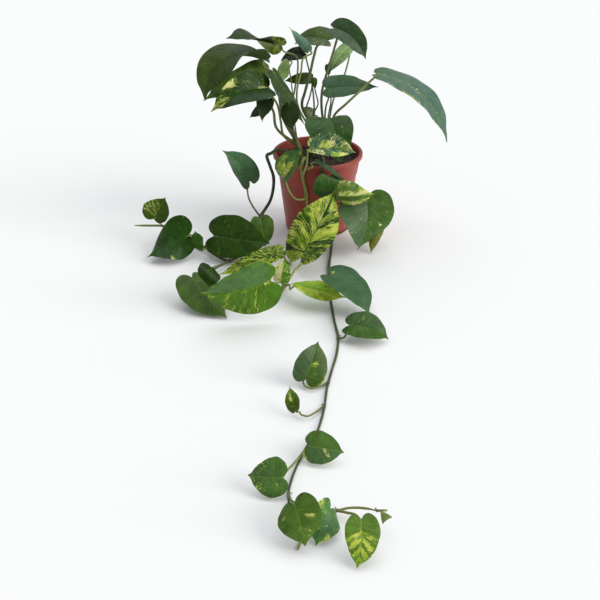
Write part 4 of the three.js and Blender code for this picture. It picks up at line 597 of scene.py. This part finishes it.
    # underside: paler, greyer, with the veins standing out
    if under is None:
        ug, ur, ub = tone[0] * 1.25 + .012, tone[1] * .5 + .34, tone[2] * .5 + .22
    else:
        ug, ur, ub = under
    lower = T.mix(T.step(cloud, .3, .7), green((ug * .86, ur, ub)), green((ug * 1.12, ur, ub)))
    lower = T.mix(T.step(fine, .35, .75, 0.0, .22), lower, green((ug * 1.4, ur, ub)))
    lower = T.mix(T.math("MULTIPLY", T.math("MULTIPLY", near, fade), .45), lower, green((ug * 1.35, ur, ub)))
    lower = T.mix(T.math("MULTIPLY", var, .45), lower, green((.36, .86, .30)))
    lower = T.mix(T.math("MULTIPLY", rib, .7), lower, green((ug * 1.8 + .02, ur, ub * .9)))
    face = T.step(fc, -3.0, -2.0) if key in SAME_BELOW else T.step(fc, -.02, .02)
    color = T.mix(face, lower, upper)
    grain = T.noise(T.vec(bx, by, seed), 900.0, 2.0, .5)
    patchy = T.noise(T.vec(bx, by, seed + 5), 55.0, 2.0, .5)
    r_up = T.math("ADD", T.step(patchy, .3, .7, .30, .44), T.math("MULTIPLY", var, .06))
    r_dn = T.step(grain, .3, .7, .52, .66)
    rough = T.node("ShaderNodeMix", {0: face, 2: r_dn, 3: r_up}, data_type="FLOAT").outputs[0]
    height = T.math("ADD", T.math("MULTIPLY", grain, .25), T.math("MULTIPLY", fine, .75))
    bump = T.node("ShaderNodeBump", {"Height": height, "Strength": .22, "Distance": .0004})
    return T.finish(color, rough, bump.outputs[0], IOR=1.45, Specular_IOR_Level=.22)


# ---- stems ------------------------------------------------------------------------------
def catmull(points, step):
    """The centripetal curve that the CAD uses, resampled at even steps."""
    p = np.array(points, float)
    p = np.vstack([2 * p[0] - p[1], p, 2 * p[-1] - p[-2]])
    out = []
    for i in range(1, len(p) - 2):
        x0, x1, x2, x3 = p[i - 1:i + 3]
        d0, d1, d2 = (max(float(np.dot(b - a, b - a)) ** .25, 1e-4) for a, b in ((x0, x1), (x1, x2), (x2, x3)))
        t1 = ((x1 - x0) / d0 - (x2 - x0) / (d0 + d1) + (x2 - x1) / d1) * d1
        t2 = ((x2 - x1) / d1 - (x3 - x1) / (d1 + d2) + (x3 - x2) / d2) * d1
        n = max(4, int(np.linalg.norm(x2 - x1) / step * 3))
        s = np.linspace(0, 1, n, endpoint=False)[:, None]
        out.append((2 * s**3 - 3 * s**2 + 1) * x1 + (s**3 - 2 * s**2 + s) * t1 + (3 * s**2 - 2 * s**3) * x2 + (s**3 - s**2) * t2)
    out = np.vstack([*out, p[-2][None]])
    d = np.concatenate([[0], np.cumsum(np.linalg.norm(np.diff(out, axis=0), axis=1))])
    m = max(4, int(round(d[-1] / step)))
    s = np.linspace(0, d[-1], m + 1)
    return np.column_stack([np.interp(s, d, out[:, k]) for k in range(3)]), s


class Tubes:
    """Tubes gathered into one mesh, with a colour key and lengthways coordinates on each vertex."""

    def __init__(self):
        self.v, self.f, self.a, self.b = [], [], [], []

    def add(self, path, radius, sides, key, s=None, blunt=(True, True), seed=0.0):
        """key is an array of (tint a, tint b, blend) a section."""
        path = np.asarray(path, float)
        n = len(path)
        radius = np.asarray(radius, float)
        key = np.asarray(key, float)
        if s is None: s = np.concatenate([[0], np.cumsum(np.linalg.norm(np.diff(path, axis=0), axis=1))])
        tan = unit(np.gradient(path, axis=0) + 1e-12)
        # round the ends off with three closing sections
        for end, on in ((0, blunt[0]), (-1, blunt[1])):
            if not on: continue
            sg = -1 if end == 0 else 1
            r, q, tg = radius[end], path[end], tan[end]
            extra, rr = [], []
            for a in (.35, .7, .92):
                extra.append(q + sg * tg * r * a)
                rr.append(r * math.sqrt(max(0, 1 - a * a)))
            if end == 0:
                path, radius = np.vstack([extra[::-1], path]), np.concatenate([rr[::-1], radius])
                key = np.vstack([[key[0]] * 3, key]); s = np.concatenate([[s[0]] * 3, s]); tan = np.vstack([[tan[0]] * 3, tan])
            else:
                path, radius = np.vstack([path, extra]), np.concatenate([radius, rr])
                key = np.vstack([key, [key[-1]] * 3]); s = np.concatenate([s, [s[-1]] * 3]); tan = np.vstack([tan, [tan[-1]] * 3])
        n = len(path)
        x = np.cross(tan[0], (0, 0, 1) if abs(tan[0][2]) < .9 else (1, 0, 0))
        x = unit(x)
        base = len(self.v)
        ang = 2 * np.pi * np.arange(sides) / sides
        for i in range(n):
            x = unit(x - tan[i] * (x @ tan[i]))
            y = np.cross(tan[i], x)
            ring = path[i] + radius[i] * (np.cos(ang)[:, None] * x + np.sin(ang)[:, None] * y)
            self.v.extend(ring)
            for k in range(sides):
                self.a.append((s[i] * MM, ang[k], seed))
                self.b.append(key[i])
        for i in range(n - 1):
            for k in range(sides):
                k2 = (k + 1) % sides
                self.f.append([base + i * sides + k, base + i * sides + k2, base + (i + 1) * sides + k2, base + (i + 1) * sides + k])
        self.f.append([base + k for k in range(sides)][::-1])
        self.f.append([base + (n - 1) * sides + k for k in range(sides)])

    def object(self, name):
        v = np.array(self.v)
        v[:, 2] = np.maximum(v[:, 2], .1)
        return make_mesh(name, v * MM, self.f, {"along": self.a, "tint": self.b})


# tint is (how light 0..1, how brown 0..1, how blue-dark 0..1)
STEM_TINT = {
    "vine_left": (.10, .10, .75), "vine_middle": (.80, .05, .0), "vine_long": (.06, .24, .62),
    "crown_stem_left": (.35, .20, .1), "crown_stem_middle": (.22, .15, .45), "crown_stem_right": (.35, .15, .2),
}
PETIOLE_TINT = {  # leaf: tint at the stem, tint at the blade
    "23": ((.85, .05, 0), (.80, .05, 0)), "25": ((.90, .05, 0), (.85, .05, 0)), "31": ((.75, .05, 0), (.85, 0, 0)),
    "38": ((.5, .2, .1), (.6, .1, 0)), "42": ((.8, .05, 0), (.85, 0, 0)), "43": ((.75, .05, 0), (.8, 0, 0)), "39": ((.75, .05, 0), (.85, 0, 0)),
    "26": ((.9, .05, 0), (.85, .05, 0)), "34": ((.40, .45, .1), (.55, .35, 0)), "36": ((.30, .45, .2), (.35, .3, .1)),
    "41": ((.3, .35, .3), (.4, .2, .1)), "40": ((.3, .4, .3), (.4, .2, .1)), "37": ((.3, .2, .3), (.35, .1, .1)),
    "32": ((.45, .1, .3), (.6, .0, .1)), "35": ((.4, .3, .2), (.45, .1, .1)), "33": ((.6, .3, 0), (.6, .1, 0)),
    "03": ((.55, .35, 0), (.75, .25, 0)), "09": ((.45, .55, 0), (.75, .1, 0)), "21": ((.35, .35, .1), (.85, .0, 0)),
    "02": ((.22, .1, .4), (.45, .1, .1)), "15": ((.2, .1, .6), (.3, .1, .3)), "16": ((.2, .1, .6), (.3, .1, .3)),
    "10": ((.3, .3, .2), (.55, .2, 0)), "49": ((.5, .3, 0), (.6, .1, 0)), "07": ((.6, .3, 0), (.75, .05, 0)), "24": ((.6, .3, 0), (.7, .1, 0)),
    "46": ((.45, .3, .1), (.6, .1, 0)), "47": ((.4, .45, .1), (.5, .2, 0)), "44": ((.4, .2, .1), (.5, .1, .1)), "45": ((.5, .3, 0), (.6, .1, 0)),
    "29": ((.3, .4, .2), (.45, .3, 0)), "30": ((.35, .45, .1), (.5, .3, 0)),
}


def stem_object(index, row, blades):
    name, radius, points, petioles = row
    rng = np.random.default_rng(500 + index)
    tb = Tubes()
    path, s = catmull(points, 2.2)
    total = s[-1]
    vine = name.startswith("vine")
    base_tint = np.array(STEM_TINT[name])
    joints = []
    for leaf, r, pts in petioles:
        d = np.linalg.norm(path - np.array(pts[0]), axis=1)
        joints.append(s[int(np.argmin(d))])
    rad = np.full(len(s), float(radius))
    if name == "vine_long": rad *= .92
    rad *= 1 + .03 * np.sin(s / 9.0 + index) + .02 * np.sin(s / 3.7)
    ring = np.zeros(len(s))
    for q in joints:
        rad *= 1 + (.26 if vine else .14) * np.exp(-((s - q) / 2.6) ** 2)
        ring += np.exp(-((s - q) / 2.2) ** 2)
    if vine:
        rad *= 1 - (.38 if name == "vine_long" else .30) * smooth(.25 * total, total, s)
        rad *= 1 - .5 * smooth(total - 14, total, s)
    else:
        rad *= 1 - .45 * smooth(total - 22, total, s)
    tint = np.tile(base_tint, (len(s), 1))
    tint[:, 0] += .35 * np.minimum(1, ring) * (1 - base_tint[0])
    if name == "vine_left":
        k = smooth(total - 60, total, s)[:, None]
        tint = tint * (1 - k) + np.array([.75, .25, 0]) * k
    if name == "vine_long":
        k = smooth(total - 90, total - 30, s)[:, None]
        tint = tint * (1 - k) + np.array([.62, .2, 0]) * k
    tb.add(path, rad, 16, tint, s, seed=float(index))
    for n, (leaf, r, pts) in enumerate(petioles):
        bl = blades[leaf]
        e = np.array(pts[-1], float)
        into = bl.at(np.array([0.0]), np.array([.035]), np.array([1.0]), np.array([-.45]))[0]
        pp = list(pts) + [tuple(into)]
        path, s = catmull(pp, 1.8)
        tl = s[-1]
        rr = r * (1 - .16 * smooth(0, tl, s))
        rr *= 1 + .42 * np.exp(-s / 3.2) + .10 * np.exp(-((s - (tl - 5)) / 2.2) ** 2)
        rr *= 1 - .55 * smooth(tl - 3.2, tl, s)
        a, b = PETIOLE_TINT.get(leaf[-2:], ((.34, .18, .2), (.48, .08, .1)))
        a = np.array(a) + rng.uniform(-.05, .05); b = np.array(b) + rng.uniform(-.05, .05)
        k = smooth(0, tl, s)[:, None]
        tt = np.clip(a * (1 - k) + b * k, 0, 1)
        tb.add(path, rr, 12, tt, s, seed=index * 20 + n + 3.0)
    if vine:  # short aerial roots at the nodes
        mid, ms = catmull(points, 2.2)
        for q in joints:
            if q < 60: continue
            i = int(np.argmin(abs(ms - q)))
            t = unit(mid[min(i + 1, len(mid) - 1)] - mid[max(i - 1, 0)])
            for _ in range(int(rng.integers(0, 2)) + (name == "vine_left")):
                d = rng.normal(size=3); d -= t * (d @ t); d[2] = abs(d[2]) * .5 - .25
                d = unit(d)
                ln = rng.uniform(1.6, 3.0)
                b0 = mid[i] + t * rng.uniform(-2.5, 2.5) + d * radius * .55
                pts = [b0, b0 + d * ln * .55 + t * rng.uniform(-.4, .4), b0 + d * ln + np.array([0, 0, -.3])]
                p2, s2 = catmull(pts, .6)
                r2 = .85 * (1 - .5 * s2 / s2[-1])
                tb.add(p2, r2, 8, np.tile((.25, .95, .2), (len(s2), 1)), s2, seed=90.0 + q)
    if name == "vine_long":  # one long aerial root lies forward under the last big blade
        pts = [(-30, -628, 4), (-27.5, -645, 2.0), (-24.5, -659, 1.6), (-27.5, -672, 1.5)]
        p2, s2 = catmull(pts, 1.8)
        tb.add(p2, 1.5 * (1 - .2 * s2 / s2[-1]), 10, np.tile((.92, .60, 0), (len(s2), 1)), s2, seed=77.0)
    return tb.object(name + "_grown")


def stem_material():
    T = Tree("stem_finish")
    al, an, sd = T.xyz(T.attr("along").outputs["Vector"])
    li, br, dk = T.xyz(T.attr("tint").outputs["Vector"])
    cx, sx = T.math("COSINE", an), T.math("SINE", an)
    round_ = T.vec(T.math("MULTIPLY", cx, .8), T.math("MULTIPLY", sx, .8), T.math("MULTIPLY_ADD", al, 40.0, sd))
    cloud = T.noise(round_, 1.6, 3.0, .55)
    streak = T.noise(T.vec(T.math("MULTIPLY", cx, 3.2), T.math("MULTIPLY", sx, 3.2), T.math("MULTIPLY_ADD", al, 60.0, sd)), 1.4, 3.0, .6)
    c = T.mix(T.step(li, 0.0, 1.0), (.032, .055, .020), (.30, .36, .075))
    c = T.mix(T.math("MULTIPLY", br, .65), c, (.17, .105, .055))
    c = T.mix(T.math("MULTIPLY", dk, .8), c, (.014, .024, .013))
    c = T.mix(T.step(cloud, .35, .7, 0.0, .35), c, (.16, .20, .06))
    c = T.mix(T.step(cloud, .5, .3, 0.0, .35), c, (.03, .045, .02))
    c = T.mix(T.step(streak, .58, .70, 0.0, .35), c, (.24, .22, .11))
    fine = T.noise(T.vec(T.math("MULTIPLY", cx, 6.0), T.math("MULTIPLY", sx, 6.0), T.math("MULTIPLY", al, 500.0)), 1.0, 2.0, .5)
    rough = T.step(cloud, .3, .7, .36, .55)
    bump = T.node("ShaderNodeBump", {"Height": T.math("ADD", T.math("MULTIPLY", streak, .7), T.math("MULTIPLY", fine, .3)), "Strength": .35, "Distance": .0004})
    return T.finish(c, rough, bump.outputs[0], IOR=1.45)


# ---- pot --------------------------------------------------------------------------------
def rounded(profile, fillets, steps=5):
    """The profile with the corners named in fillets turned to arcs of that radius."""
    out = []
    n = len(profile)
    for i, p in enumerate(profile):
        r = fillets.get(i, 0)
        p = np.array(p, float)
        if not r or i in (0, n - 1):
            out.append(tuple(p)); continue
        a, b = np.array(profile[i - 1], float), np.array(profile[i + 1], float)
        da, db = unit(a - p), unit(b - p)
        half = math.acos(max(-1, min(1, float(da @ db)))) / 2
        cut = min(r / math.tan(half), .45 * np.linalg.norm(a - p), .45 * np.linalg.norm(b - p))
        q0, q1 = p + da * cut, p + db * cut
        for k in range(steps + 1):
            s = k / steps
            out.append(tuple((1 - s) ** 2 * q0 + 2 * s * (1 - s) * p + s * s * q1))
    return out


def lathe(name, profile, sides, closed_axis=True):
    v, f = [], []
    prof = [(max(r, 0), z) for r, z in profile]
    ring = []
    for r, z in prof:
        if r < 1e-6:
            ring.append([len(v)] * sides); v.append((0, 0, z))
        else:
            ring.append([len(v) + k for k in range(sides)])
            v.extend((r * math.cos(2 * math.pi * k / sides), r * math.sin(2 * math.pi * k / sides), z) for k in range(sides))
    for a, b in zip(ring, ring[1:]):
        for k in range(sides):
            q = [a[k], a[(k + 1) % sides], b[(k + 1) % sides], b[k]]
            q = [x for n, x in enumerate(q) if x not in q[:n]]
            if len(q) > 2: f.append(q)
    return make_mesh(name, np.array(v) * MM, f)


def pot_object():
    outer = [(0, 0), (45.5, 0), (46.5, 1.0), (57, 87), (58, 88), (61.5, 111), (64.4, 111), (65, 112), (65, 116.6), (63.6, 118),
             (61.1, 118), (59.9, 116.8), (56.4, 88), (55.4, 87), (45.17, 2.2), (0, 2.2)]
    prof = rounded(outer, {1: 1.2, 2: 1.6, 3: 1.0, 4: 1.2, 5: 1.0, 6: .8, 7: 1.0, 8: 1.8, 9: 1.2, 10: 1.2, 11: 1.5, 12: 1.2, 13: 1.0, 14: 3.0})
    # a few extra heights on the long walls
    fine = [prof[0]]
    for a, b in zip(prof, prof[1:]):
        n = max(1, int(math.hypot(b[0] - a[0], b[1] - a[1]) / 6)) if min(a[0], b[0]) > 40 else 1
        fine.extend((a[0] + (b[0] - a[0]) * k / n, a[1] + (b[1] - a[1]) * k / n) for k in range(1, n + 1))
    pot = lathe("pot_shell", fine, 192)
    cut = []
    for k in range(8):
        a = math.radians(22.5 + 45 * k)
        bpy.ops.mesh.primitive_cylinder_add(vertices=40, radius=4.2 * MM, depth=12 * MM, location=(33 * MM * math.cos(a), 33 * MM * math.sin(a), 1 * MM))
        cut.append(bpy.context.object)
    for c in cut:
        m = pot.modifiers.new("hole", "BOOLEAN")
        m.operation, m.object, m.solver = "DIFFERENCE", c, "EXACT"
    dg = bpy.context.evaluated_depsgraph_get()
    me = bpy.data.meshes.new_from_object(pot.evaluated_get(dg))
    pot.modifiers.clear()
    pot.data = me
    for c in cut: bpy.data.objects.remove(c, do_unlink=True)
    me.polygons.foreach_set("use_smooth", np.ones(len(me.polygons), bool))
    me.set_sharp_from_angle(angle=math.radians(32))
    return pot


def pot_material():
    T = Tree("pot_moulded_plastic")
    tc = T.node("ShaderNodeTexCoord").outputs["Object"]
    x, y, z = T.xyz(tc)
    cloud = T.noise(tc, 22.0, 3.0, .55)
    drag = T.noise(T.vec(T.math("MULTIPLY", x, 60.0), T.math("MULTIPLY", y, 60.0), T.math("MULTIPLY", z, 6.0)), 1.0, 3.0, .6)
    fine = T.noise(tc, 1500.0, 2.0, .5)
    base = T.mix(T.step(cloud, .3, .7), (.300, .050, .032), (.345, .062, .042))
    base = T.mix(T.step(drag, .45, .75, 0.0, .35), base, (.40, .095, .07))
    scuff = T.noise(T.vec(T.math("MULTIPLY", x, 120.0), T.math("MULTIPLY", y, 120.0), T.math("MULTIPLY", z, 420.0)), 1.0, 3.0, .65)
    base = T.mix(T.math("MULTIPLY", T.step(scuff, .62, .74), .22), base, (.50, .20, .16))
    low = T.step(z, .030, .0)
    dirt = T.noise(tc, 160.0, 4.0, .65)
    base = T.mix(T.math("MULTIPLY", T.math("MULTIPLY", low, T.step(dirt, .50, .66)), .55), base, (.10, .055, .035))
    lip = T.math("MULTIPLY", T.step(z, .1165, .1182), T.step(dirt, .42, .62))
    base = T.mix(T.math("MULTIPLY", lip, .30), base, (.50, .17, .13))
    rings = T.math("SINE", T.math("MULTIPLY", z, 5200.0))
    h = T.math("ADD", T.math("MULTIPLY", fine, .5), T.math("MULTIPLY", rings, .10))
    h = T.math("ADD", h, T.math("MULTIPLY", drag, .35))
    bump = T.node("ShaderNodeBump", {"Height": h, "Strength": .25, "Distance": .0004})
    rough = T.math("ADD", T.step(cloud, .3, .7, .36, .46), T.math("MULTIPLY", T.step(dirt, .5, .66), .12))
    return T.finish(base, rough, bump.outputs[0], IOR=1.49, Specular_IOR_Level=.30)


# ---- potting mix ------------------------------------------------------------------------
def soil_object():
    rng = np.random.default_rng(31)
    wall = lambda z: 45.17 + (55.4 - 45.17) * (z - 2.2) / (87 - 2.2) if z < 87 else 55.4 + (z - 87) if z < 88 else 56.4 + (59.9 - 56.4) * (z - 88) / (116.8 - 88)
    gapped = lambda z: wall(z) - .5
    R = gapped(105.0)
    rings, sides = 46, 168
    knobs = np.column_stack([rng.uniform(-R, R, 900), rng.uniform(-R, R, 900), rng.uniform(.5, 1.0, 900), rng.uniform(1.3, 3.8, 900)])

    def height(x, y):
        d = math.hypot(x, y) / R
        z = 105.2 + 2.6 * (1 - d * d)
        q = np.hypot(knobs[:, 0] - x, knobs[:, 1] - y) / knobs[:, 3]
        b = np.where(q < 1, np.sqrt(np.maximum(0, 1 - q * q)) * knobs[:, 3] * .42 * knobs[:, 2], 0)
        return z + float(b.max()) - .6 + .5 * math.sin(x / 7 + 1) * math.cos(y / 9)

    v, f = [(0, 0, height(0, 0))], []
    for i in range(1, rings + 1):
        r = R * (i / rings) ** .92
        for k in range(sides):
            a = 2 * math.pi * (k + .5 * (i % 2)) / sides
            x, y = r * math.cos(a), r * math.sin(a)
            v.append((x, y, height(x, y) if i < rings else 104.6))
    idx = lambda i, k: 1 + (i - 1) * sides + k % sides
    for k in range(sides): f.append([0, idx(1, k), idx(1, k + 1)])
    for i in range(1, rings):
        for k in range(sides):
            if (i + 1) % 2:
                f += [[idx(i, k), idx(i + 1, k), idx(i, k + 1)], [idx(i + 1, k), idx(i + 1, k + 1), idx(i, k + 1)]]
            else:
                f += [[idx(i, k), idx(i + 1, k), idx(i + 1, k + 1)], [idx(i, k), idx(i + 1, k + 1), idx(i, k + 1)]]
    last = rings
    start = len(v)
    for z in (100, 88.5, 87, 70, 45, 20, 2.7):
        r = gapped(z)
        for k in range(sides):
            a = 2 * math.pi * (k + .5 * (last % 2)) / sides
            v.append((r * math.cos(a), r * math.sin(a), z))
    row = lambda j, k: (idx(last, k) if j < 0 else start + j * sides + k % sides)
    for j in range(-1, 6):
        for k in range(sides):
            f.append([row(j, k), row(j + 1, k), row(j + 1, k + 1), row(j, k + 1)])
    f.append([row(6, k) for k in range(sides)][::-1])
    # loose crumbs and bark bits on top, each a small closed lump
    for n in range(760):
        a, q = rng.uniform(0, 2 * math.pi), math.sqrt(rng.uniform(0, 1)) * (R - 3)
        x, y = q * math.cos(a), q * math.sin(a)
        size = rng.uniform(.6, 1.9) if rng.uniform() < .85 else rng.uniform(1.9, 3.2)
        c = np.array([x, y, height(x, y) + size * .25])
        ax = np.array([rng.uniform(.7, 1.7), rng.uniform(.6, 1.1), rng.uniform(.35, .8)]) * size
        rot = rng.uniform(0, math.pi)
        b = len(v)
        m, w = 5, 8
        v.append(tuple(c + (0, 0, ax[2])))
        for i in range(1, m):
            th = math.pi * i / m
            for k in range(w):
                an = 2 * math.pi * k / w
                d = np.array([math.sin(th) * math.cos(an), math.sin(th) * math.sin(an), math.cos(th)]) * ax * (1 + rng.uniform(-.16, .16))
                v.append(tuple(c + (d[0] * math.cos(rot) - d[1] * math.sin(rot), d[0] * math.sin(rot) + d[1] * math.cos(rot), d[2])))
        v.append(tuple(c - (0, 0, ax[2])))
        e = len(v) - 1
        at = lambda i, k: b + 1 + (i - 1) * w + k % w
        for k in range(w):
            f.append([b, at(1, k), at(1, k + 1)])
            f.append([e, at(m - 1, k + 1), at(m - 1, k)])
            for i in range(1, m - 1):
                f.append([at(i, k), at(i + 1, k), at(i + 1, k + 1), at(i, k + 1)])
    return make_mesh("potting_mix_bed", np.array(v) * MM, f)


def soil_material():
    T = Tree("potting_mix_finish")
    tc = T.node("ShaderNodeTexCoord").outputs["Object"]
    n1 = T.noise(tc, 210.0, 4.0, .65)
    n2 = T.noise(tc, 900.0, 3.0, .6)
    cell = T.node("ShaderNodeTexVoronoi", {"Vector": tc, "Scale": 340.0}, feature="F1")
    pick = T.xyz(cell.outputs["Color"])[0]
    c = T.mix(T.step(n1, .3, .7), (.012, .008, .005), (.050, .032, .020))
    c = T.mix(T.step(pick, .72, .95, 0.0, .6), c, (.115, .070, .040))
    c = T.mix(T.step(n2, .6, .78, 0.0, .4), c, (.09, .07, .05))
    bump = T.node("ShaderNodeBump", {"Height": T.math("ADD", T.math("MULTIPLY", n1, .6), T.math("MULTIPLY", n2, .4)), "Strength": .7, "Distance": .0012})
    return T.finish(c, T.step(n2, .3, .7, .78, .95), bump.outputs[0])


# ---- build ------------------------------------------------------------------------------
def place(ob, material, *nodes):
    ob.data.materials.clear()
    ob.data.materials.append(material)
    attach(ob, "root")
    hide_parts(*nodes)
    return ob


blades = {}
for i, row in enumerate(LEAVES):
    ob, blades[row[0]] = leaf_object(i, row)
    place(ob, leaf_material(row[0][-2:], i), row[0])
stem = stem_material()
for i, row in enumerate(STEMS):
    place(stem_object(i, row, blades), stem, row[0])
place(pot_object(), pot_material(), "pot")
place(soil_object(), soil_material(), "soil")

# ---- floor, light, camera ---------------------------------------------------------------
def floor_plane():
    me = bpy.data.meshes.new("floor")
    me.from_pydata([(-14, -14, 0), (14, -14, 0), (14, 14, 0), (-14, 14, 0)], [], [(0, 1, 2, 3)])
    ob = bpy.data.objects.new("floor", me)
    bpy.context.scene.collection.objects.link(ob)
    T = Tree("floor_paper")
    tc = T.node("ShaderNodeTexCoord").outputs["Object"]
    c = T.mix(T.noise(tc, 3.0, 2.0, .5), (.885, .885, .885), (.90, .90, .90))
    me.materials.append(T.finish(c, .9))


def soft_sun(name, toward, strength, width, color):
    from mathutils import Vector
    data = bpy.data.lights.new(name, "SUN")
    data.energy, data.color, data.angle = strength, color, math.radians(width)
    ob = bpy.data.objects.new(name, data)
    ob.rotation_mode = "QUATERNION"
    ob.rotation_quaternion = Vector(toward).to_track_quat("Z", "Y")
    bpy.context.scene.collection.objects.link(ob)


floor_plane()
world = bpy.data.worlds.new("studio")
bpy.context.scene.world = world
world.use_nodes = True
world.node_tree.nodes["Background"].inputs[0].default_value = (.98, .99, 1.0, 1)
world.node_tree.nodes["Background"].inputs[1].default_value = .44
soft_sun("overhead", (.12, .30, 1), 1.30, 70, (.93, .97, 1.0))
soft_sun("key", (1.0, -.45, .72), 1.4, 38, (1.0, .98, .94))
soft_sun("side", (1.0, -.22, .20), .75, 22, (1.0, .98, .95))

cam = bpy.data.cameras.new("camera")
cam.lens, cam.sensor_width, cam.clip_start, cam.clip_end = 55.5, 36, .01, 60
cam_ob = bpy.data.objects.new("camera", cam)
cam_ob.location = (-.02565, -1.26883, .59167)
cam_ob.rotation_euler = (math.radians(60.365), 0, 0)
bpy.context.scene.collection.objects.link(cam_ob)
bpy.context.scene.camera = cam_ob
bpy.context.scene.view_settings.view_transform = "Standard"

bpy.context.view_layer.update()
